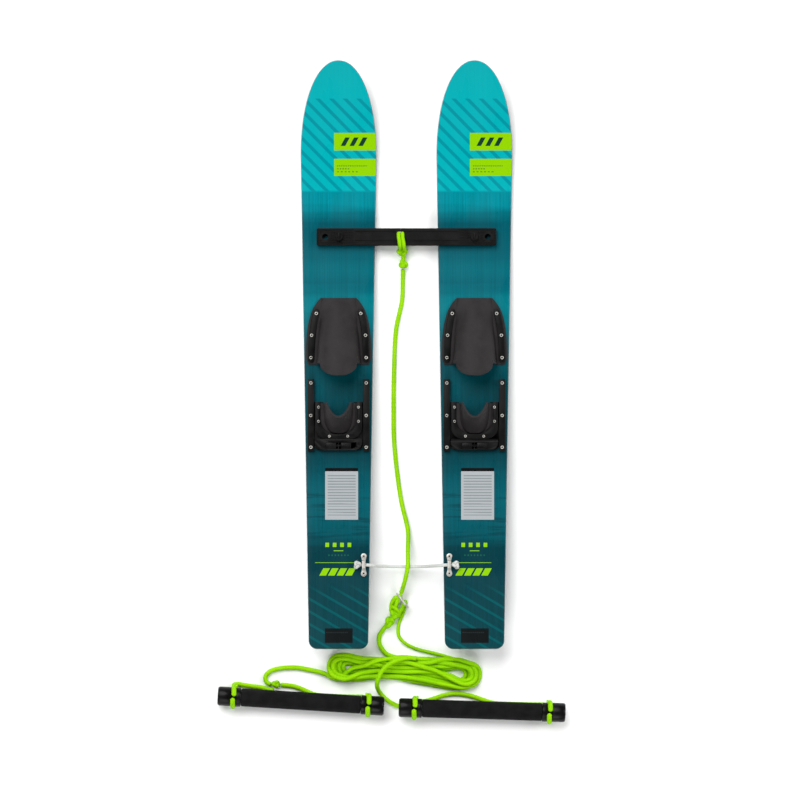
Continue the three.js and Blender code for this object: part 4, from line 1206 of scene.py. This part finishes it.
RIGHT_LEAD_ROUTE = [(20, -20, 20), (4, -17.5, 25.5), (-13.9, -21, 28.8), (-39.3, -33.7, 30.5),
                    (-51.8, -49, 30.5), (-57, -61.5, 30), (-58.5, -70, 25), (-57.5, -77.5, 17),
                    (-54, -85.5, 9.5), (-48, -93, 5.4), (-39, -101.5, 4.6), (-24, -110.9, 4.6),
                    (-8, -116.2, 4.6), (10.6, -117.6, 4.6)]
RIGHT_BRIDLE_ROUTE = [(26, -103.8, 6), (38, -103.6, 4.8), (56.5, -98.6, 4.6), (74.4, -92.5, 4.6),
                      (97.4, -89.5, 4.6), (125.1, -93, 4.6), (148, -100.2, 4.6), (172, -107.6, 4.6),
                      (210, -109.6, 4.6), (250, -110.6, 4.6), (277, -110.9, 4.6)]
HANK_UPPER = [(-161.6, -34.7), (-145.8, -9.9), (-122, -6.9), (-88.2, -14.9), (-48.6, -16.9), (-10.9, -12),
              (26.8, -15.9), (76.3, -16.5), (106, -17.8), (135.8, -26.8), (153.7, -44.6)]
HANK_LOWER = [(-161.6, -34.7), (-145.8, -58.5), (-122, -66.4), (-82.3, -64.4), (-48.6, -59.5), (-22.8, -61.5),
              (26.8, -72.4), (76.3, -81.5), (110, -83), (139.8, -75.5), (153.7, -44.6)]
HANK = {"turns": 6, "right": (117.5, -50.5, 28.5), "left": (-129.5, -36.5, 25.5), "nest": 6.8,
        "waist_high": -17.5, "waist_low": -56, "column": 7.8, "layer": 8.3, "lowest_inset": 12,
        "top": 22.4, "folds": (-104, 92)}
HANK_END = [(62, -44, 20), (22, -30, 22), (-34, -22, 22), (-90, -31, 22), (-110, -39, 20), (-125, -54, 15),
            (-137, -61, 9), (-150, -56.5, 6)]
SETTLE_STEP = 6.0
SETTLE = {"sink": 0.12, "push": 0.3, "push_limit": 1.5, "stiffness": 0.15, "tension": 0.25,
          "fold_hold": 0.2, "run_hold": 0.006, "rounds": 160, "quick_rounds": 30, "final_smoothing": 12}


def hank_route():
    """Long turns, three abreast and in layers, each layer crossing the last; the rope's end lies on top."""
    route = []
    for number in range(HANK["turns"]):
        layer, column = divmod(number, 3)
        swapped = (column + 2 * layer) % 3
        z = HANDLE_ROPE / 2 + HANK["layer"] * layer
        inset = HANK["lowest_inset"] * (layer == 0)
        high = HANK["waist_high"] - HANK["column"] * column
        low = HANK["waist_low"] + HANK["column"] * swapped
        route += [(-20 + 6 * column, high, z), (40, high - 1 - 2 * swapped, z)]
        x, y, radius = HANK["right"]
        route += half_turn(x - inset, y, radius - HANK["nest"] * swapped, 90, z)
        if number == HANK["turns"] - 1:
            return route + HANK_END
        route += [(44, low - 9 + 2 * swapped, z), (-16, low, z + 1), (-70, low - 3 + column, z + 2)]
        x, y, radius = HANK["left"]
        route += half_turn(x + inset, y, radius - HANK["nest"] * column, 270, z + 3)
        route += [(-76, high + 1, z + 5)]
    return route


def half_turn(x, y, radius, start, z):
    """Nine points clockwise round half a circle from that angle."""
    turns = [math.radians(start - 180 * step / 8) for step in range(9)]
    return [(x + radius * math.cos(turn), y + radius * math.sin(turn), z) for turn in turns]


def straighten(line, share):
    """Moves each inner point of a line towards the middle of its neighbours."""
    line[1:-1] += share * (line[:-2] + line[2:] - 2 * line[1:-1])


def settled(route, diameter, rounds):
    """Lets a rope's turns push apart and sink onto each other, inside the hank's outline.

    The ends are held, and the folds nearly so, which keeps their bends round.
    """
    line = rounded_route(route, SETTLE_STEP)
    home = line.copy()
    number = np.arange(len(line))
    apart = np.abs(number[:, None] - number[None, :]) * SETTLE_STEP > 2.5 * diameter
    upper, lower = np.array(HANK_UPPER), np.array(HANK_LOWER)
    free = slice(3, len(line) - 8)
    first_fold, last_fold = HANK["folds"]
    in_fold = (home[:, :1] < first_fold) | (home[:, :1] > last_fold)
    hold = np.where(in_fold, SETTLE["fold_hold"], SETTLE["run_hold"])
    for _ in range(rounds):
        line[:, 2] -= SETTLE["sink"]
        gap = line[:, None, :] - line[None, :, :]
        distance = np.linalg.norm(gap, axis=2) + 1e-6
        push = np.where(apart & (distance < diameter), (diameter - distance) / distance, 0.0)
        moved = SETTLE["push"] * np.einsum("ijk,ij->ik", gap, push)
        line += np.clip(moved, -SETTLE["push_limit"], SETTLE["push_limit"])
        straighten(line, SETTLE["stiffness"])
        step = np.diff(line, axis=0)
        length = np.linalg.norm(step, axis=1)[:, None]
        slack = SETTLE["tension"] * step * (1 - SETTLE_STEP / length)
        line[:-1] += slack
        line[1:] -= slack
        line[:, :2] += hold * (home - line)[:, :2]
        highest = np.interp(line[free, 0], upper[:, 0], upper[:, 1]) - diameter / 2
        lowest = np.interp(line[free, 0], lower[:, 0], lower[:, 1]) + diameter / 2
        line[free, 1] = np.clip(line[free, 1], lowest, np.maximum(lowest, highest))
        line[:, 2] = np.clip(line[:, 2], diameter / 2 + 0.1, HANK["top"])
        line[:2], line[-2:] = home[:2], home[-2:]
    return line


def lay_rope(name, route, diameter, kind, nodes):
    """A rope on the floor along its route, standing for the nodes; kind names its slot and material, and the
    slot is not used.
    """
    lay_line(name, rounded_route(route), diameter, kind, nodes)


def lay_line(name, line, diameter, kind, nodes):
    """A rope on the floor along a finished line, standing for the nodes."""
    rope = rope_object(name, line, diameter, FLOOR)
    fit(rope, "root", *kind, *nodes)


def make_ring():
    """The steel ring that joins the tow line to the handle rope, standing on its edge."""
    x, y, z = RING["place"]
    heading = RING["heading"]

    def spot(turn, round_wire):
        reach = RING["radius"] + RING["wire"] * math.cos(round_wire)
        out = RING["wire"] * math.sin(round_wire)
        return (x + reach * math.cos(turn) * math.cos(heading) - out * math.sin(heading),
                y + reach * math.cos(turn) * math.sin(heading) + out * math.cos(heading),
                z + reach * math.sin(turn))

    long_way, short_way = 72, 16
    points = [spot(2 * math.pi * i / long_way, 2 * math.pi * j / short_way)
              for i in range(long_way) for j in range(short_way)]
    faces = ring_faces(long_way, short_way, True)
    ring = smooth(new_object("join_ring", points, faces, FLOOR))
    return fit(ring, "root", "steel", "steel", "tow_ring")


def make_tow_line():
    ring = make_ring()
    line = rounded_route(TOW_ROUTE)
    rope = rope_object("tow_rope", line, TOW_ROPE, FLOOR)
    rope.data.materials.append(MATERIALS["lime_rope"])
    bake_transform(rope)
    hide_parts("tow_line")


def make_bar_eye():
    """The tow rope's eye: two strands over the bar and down its hole, closed by knots behind the bar."""
    for name, at_rear, at_hole in (("left", -12.2, -15.8), ("right", -4.4, -8.2)):
        across = [at_rear + (at_hole - at_rear) * share
                  for share in (0, 0, 0, 0.05, 0.2, 0.55, 0.9, 1, 1, 0.95, 0.6, 0.2, 0)]
        profile = [(785, 9), (790, 14), (793.6, 22), (794.6, 28.5), (798.4, 32.8), (807, 33.2), (815, 32),
                   (822.5, 27), (823, 20), (820, 12.6), (810, 10.4), (800, 10.2), (789, 9)]
        route = [(x, s, z) for x, (s, z) in zip(across, profile)]
        strand = rope_object(f"bar_eye_{name}", rounded_route(route, 1.4), 7.6, DECK)
        fit(strand, "bar", *LIME, *(["bar_loop"] if name == "left" else []))
    upper = knot_object("bar_knot_upper", (-8.4, 787, 9), (12.5, 8.5, 8.5), 7.8, 0.1, DECK)
    neck = rope_object("bar_knot_neck", rounded_route([(-7, 781, 8), (-6, 774, 7), (-6, 768, 7)]), 8.2, DECK)
    lower = knot_object("bar_knot_lower", (-6.4, 763.5, 7), (10, 10.5, 7.8), 7.8, 1.2, DECK)
    for piece in (upper, neck, lower):
        fit(piece, "bar", *LIME)


def make_ring_knots():
    """The tow line's end through the ring, and the two knots that tie the handle rope to it."""
    through = [(-11.3, 108.6, 12.5), (-12.8, 104.6, 16.5), (-16, 101.8, 19), (-21.5, 101, 18),
               (-26.5, 95, 14), (-29.5, 86, 11), (-30, 77, 9.5), (-27.5, 69, 9)]
    back = [(-21, 64, 12), (-15, 70, 15), (-9.5, 78.5, 18), (-5.5, 87, 20), (-3.5, 92, 19), (-2, 93.5, 13.5),
            (-2, 89, 8.5), (-3.5, 82, 6.5), (-6, 74, 5.5)]
    inner = [(-12, 103, 15), (-16.5, 98, 18), (-20, 89, 17.5), (-21.5, 79, 15), (-23, 71, 12)]
    cross = [(-30.5, 84, 15.5), (-25, 81.5, 19), (-18, 77, 20), (-14, 71.5, 16)]
    neck = [(-27, 64, 9), (-30, 59, 9), (-34, 54, 8.5)]
    pieces = [
        rope_object("ring_strand_through", rounded_route(through, 1.4), 9.0, FLOOR),
        rope_object("ring_strand_back", rounded_route(back, 1.4), 7.4, FLOOR),
        rope_object("ring_strand_inner", rounded_route(inner, 1.4), 8.2, FLOOR),
        rope_object("ring_strand_cross", rounded_route(cross, 1.4), 7.0, FLOOR),
        knot_object("ring_knot_throat", (-23, 68, 10), (12.5, 11, 9.5), 8.6, -0.6, FLOOR),
        rope_object("ring_knot_neck", rounded_route(neck, 1.4), 8.2, FLOOR),
        knot_object("ring_knot_stopper", (-34, 52.5, 8.8), (10.5, 14, 8.8), 8.4, -0.5, FLOOR),
    ]
    for piece in pieces:
        fit(piece, "root", *LIME)
    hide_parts("ring_knot")


def make_handle_rope():
    """One rope from the ring's knot through the hank to the left bridle's knot."""
    rounds = SETTLE["rounds"]
    body = settled(hank_route(), HANDLE_ROPE, rounds)
    line = rounded_route([*KNOT_ROUTE, *(tuple(point) for point in body), *LEFT_LEAD_ROUTE])
    for _ in range(SETTLE["final_smoothing"]):
        straighten(line, 0.25)
    knot = knot_object("left_bridle_tie", BRIDLE_KNOT, (9, 9, 8), 7.6, 0.3, FLOOR)
    fit(knot, "root", *LIME, "left_bridle_knot")
    lay_line("handle_rope", line, HANDLE_ROPE, LIME, ("knot_line", "rope_hank", "left_lead"))


def make_rear_line():
    """The white line between the skis' tails, knotted outside each plate."""
    level = FLOOR.inverted() @ DECK @ Vector((0, TETHER["station"], DECK_TOP))
    on_deck = level.z + THIN_ROPE / 2 + 0.3
    half = [(90.4, 0), (84.6, 0), (77, 0.4), (70.5, 0.8), (65, -2.8), (59, -10), (49, -21), (33, -33.5),
            (16, -40.5)]
    bow, sag = TETHER["bow"], TETHER["sag"]
    right = [(x, level.y - max(0.0, bow - bow * (x / 78) ** 2), on_deck + drop) for x, drop in half]
    left = [(-x, y, z) for x, y, z in reversed(right)]
    for name, hand in HANDS:
        place = (hand * TETHER["knot_at"], TETHER["station"], DECK_TOP + 6.8)
        knot = knot_object(f"{name}_stop_knot", place, (8.0, 9.4, 6.4), 5.6, hand * 0.5, DECK)
        fit(knot, "root", *WHITE, f"{name}_line_knot")
    lay_rope("tail_line", [*right, (0, level.y - bow, on_deck - sag), *left], THIN_ROPE, WHITE,
             ("rear_line",))


def make_floor_ropes():
    make_handle_rope()
    make_ring_knots()
    lay_rope("thin_rope", THIN_ROUTE, THIN_ROPE, LIME, ["thin_line"])
    lay_rope("right_lead_rope", RIGHT_LEAD_ROUTE, HANDLE_ROPE, LIME, ["right_lead"])
    lay_rope("left_near_rope", LEFT_NEAR_ROUTE, HANDLE_ROPE, LIME, ["left_bridle_near"])
    lay_rope("left_far_rope", LEFT_FAR_ROUTE, HANDLE_ROPE, LIME, ["left_bridle_far"])
    lay_rope("right_bridle_rope", RIGHT_BRIDLE_ROUTE, HANDLE_ROPE, LIME, ["right_bridle"])


# ------------------------------------------------------------------ stage
VIEW_CENTRE = Vector((-12.9, 492.8, 0))
CAMERA_HEIGHT = 20
SEEN_WIDTH = 1.5864


def make_camera():
    data = bpy.data.cameras.new("camera")
    data.sensor_width = 36
    data.lens = 36 * CAMERA_HEIGHT / SEEN_WIDTH
    camera = bpy.data.objects.new("camera", data)
    centre = FLOOR @ VIEW_CENTRE
    camera.location = (centre.x, centre.y, CAMERA_HEIGHT)
    bpy.context.scene.collection.objects.link(camera)
    bpy.context.scene.camera = camera


def make_light(name, azimuth, elevation, strength, spread):
    """A soft sun: azimuth is where it comes from, with 0 from +Y and 90 from +X."""
    data = bpy.data.lights.new(name, "SUN")
    data.energy = strength
    data.angle = math.radians(spread)
    light = bpy.data.objects.new(name, data)
    way = Vector((math.sin(math.radians(azimuth)) * math.cos(math.radians(elevation)),
                  math.cos(math.radians(azimuth)) * math.cos(math.radians(elevation)),
                  math.sin(math.radians(elevation))))
    light.rotation_euler = way.to_track_quat("Z", "Y").to_euler()
    bpy.context.scene.collection.objects.link(light)


def make_sky():
    """A dim studio that is darkest straight above, so that level gloss keeps its colour."""
    world = bpy.data.worlds.new("studio")
    world.use_nodes = True
    nodes, links = world.node_tree.nodes, world.node_tree.links
    split = nodes.new("ShaderNodeSeparateXYZ")
    links.new(nodes.new("ShaderNodeTexCoord").outputs["Generated"], split.inputs[0])
    fall = nodes.new("ShaderNodeMapRange")
    for socket, number in zip(list(fall.inputs)[1:], (0.25, 0.95, 0.34, 0.015)):
        socket.default_value = number
    links.new(split.outputs[2], fall.inputs[0])
    links.new(fall.outputs[0], nodes["Background"].inputs[1])
    nodes["Background"].inputs[0].default_value = (1, 1, 1, 1)
    bpy.context.scene.world = world


def make_stage():
    floor_mesh = bpy.data.meshes.new("floor")
    reach = 30
    floor_mesh.from_pydata([(-reach, -reach, 0), (reach, -reach, 0), (reach, reach, 0), (-reach, reach, 0)],
                           [], [(0, 1, 2, 3)])
    floor = bpy.data.objects.new("floor", floor_mesh)
    bpy.context.scene.collection.objects.link(floor)
    paper = Shader("paper", (0.93, 0.93, 0.93, 1), 0.9)
    paper.surface.inputs["Specular IOR Level"].default_value = 0.1
    floor.data.materials.append(paper.material)
    make_sky()
    make_light("key", -28, 50, 3.2, 48)
    make_light("fill_right", 75, 34, 1.7, 36)
    make_light("fill_front", 195, 34, 1.7, 44)
    bpy.context.scene.view_settings.view_transform = "Standard"


make_camera()
make_stage()
make_tow_line()
make_bar_eye()
make_rear_line()
make_floor_ropes()
make_boards()
make_toe_pieces()
make_heel_units()
make_bar()
make_knobs()
make_plates_and_fins()
make_screws()
make_handles()
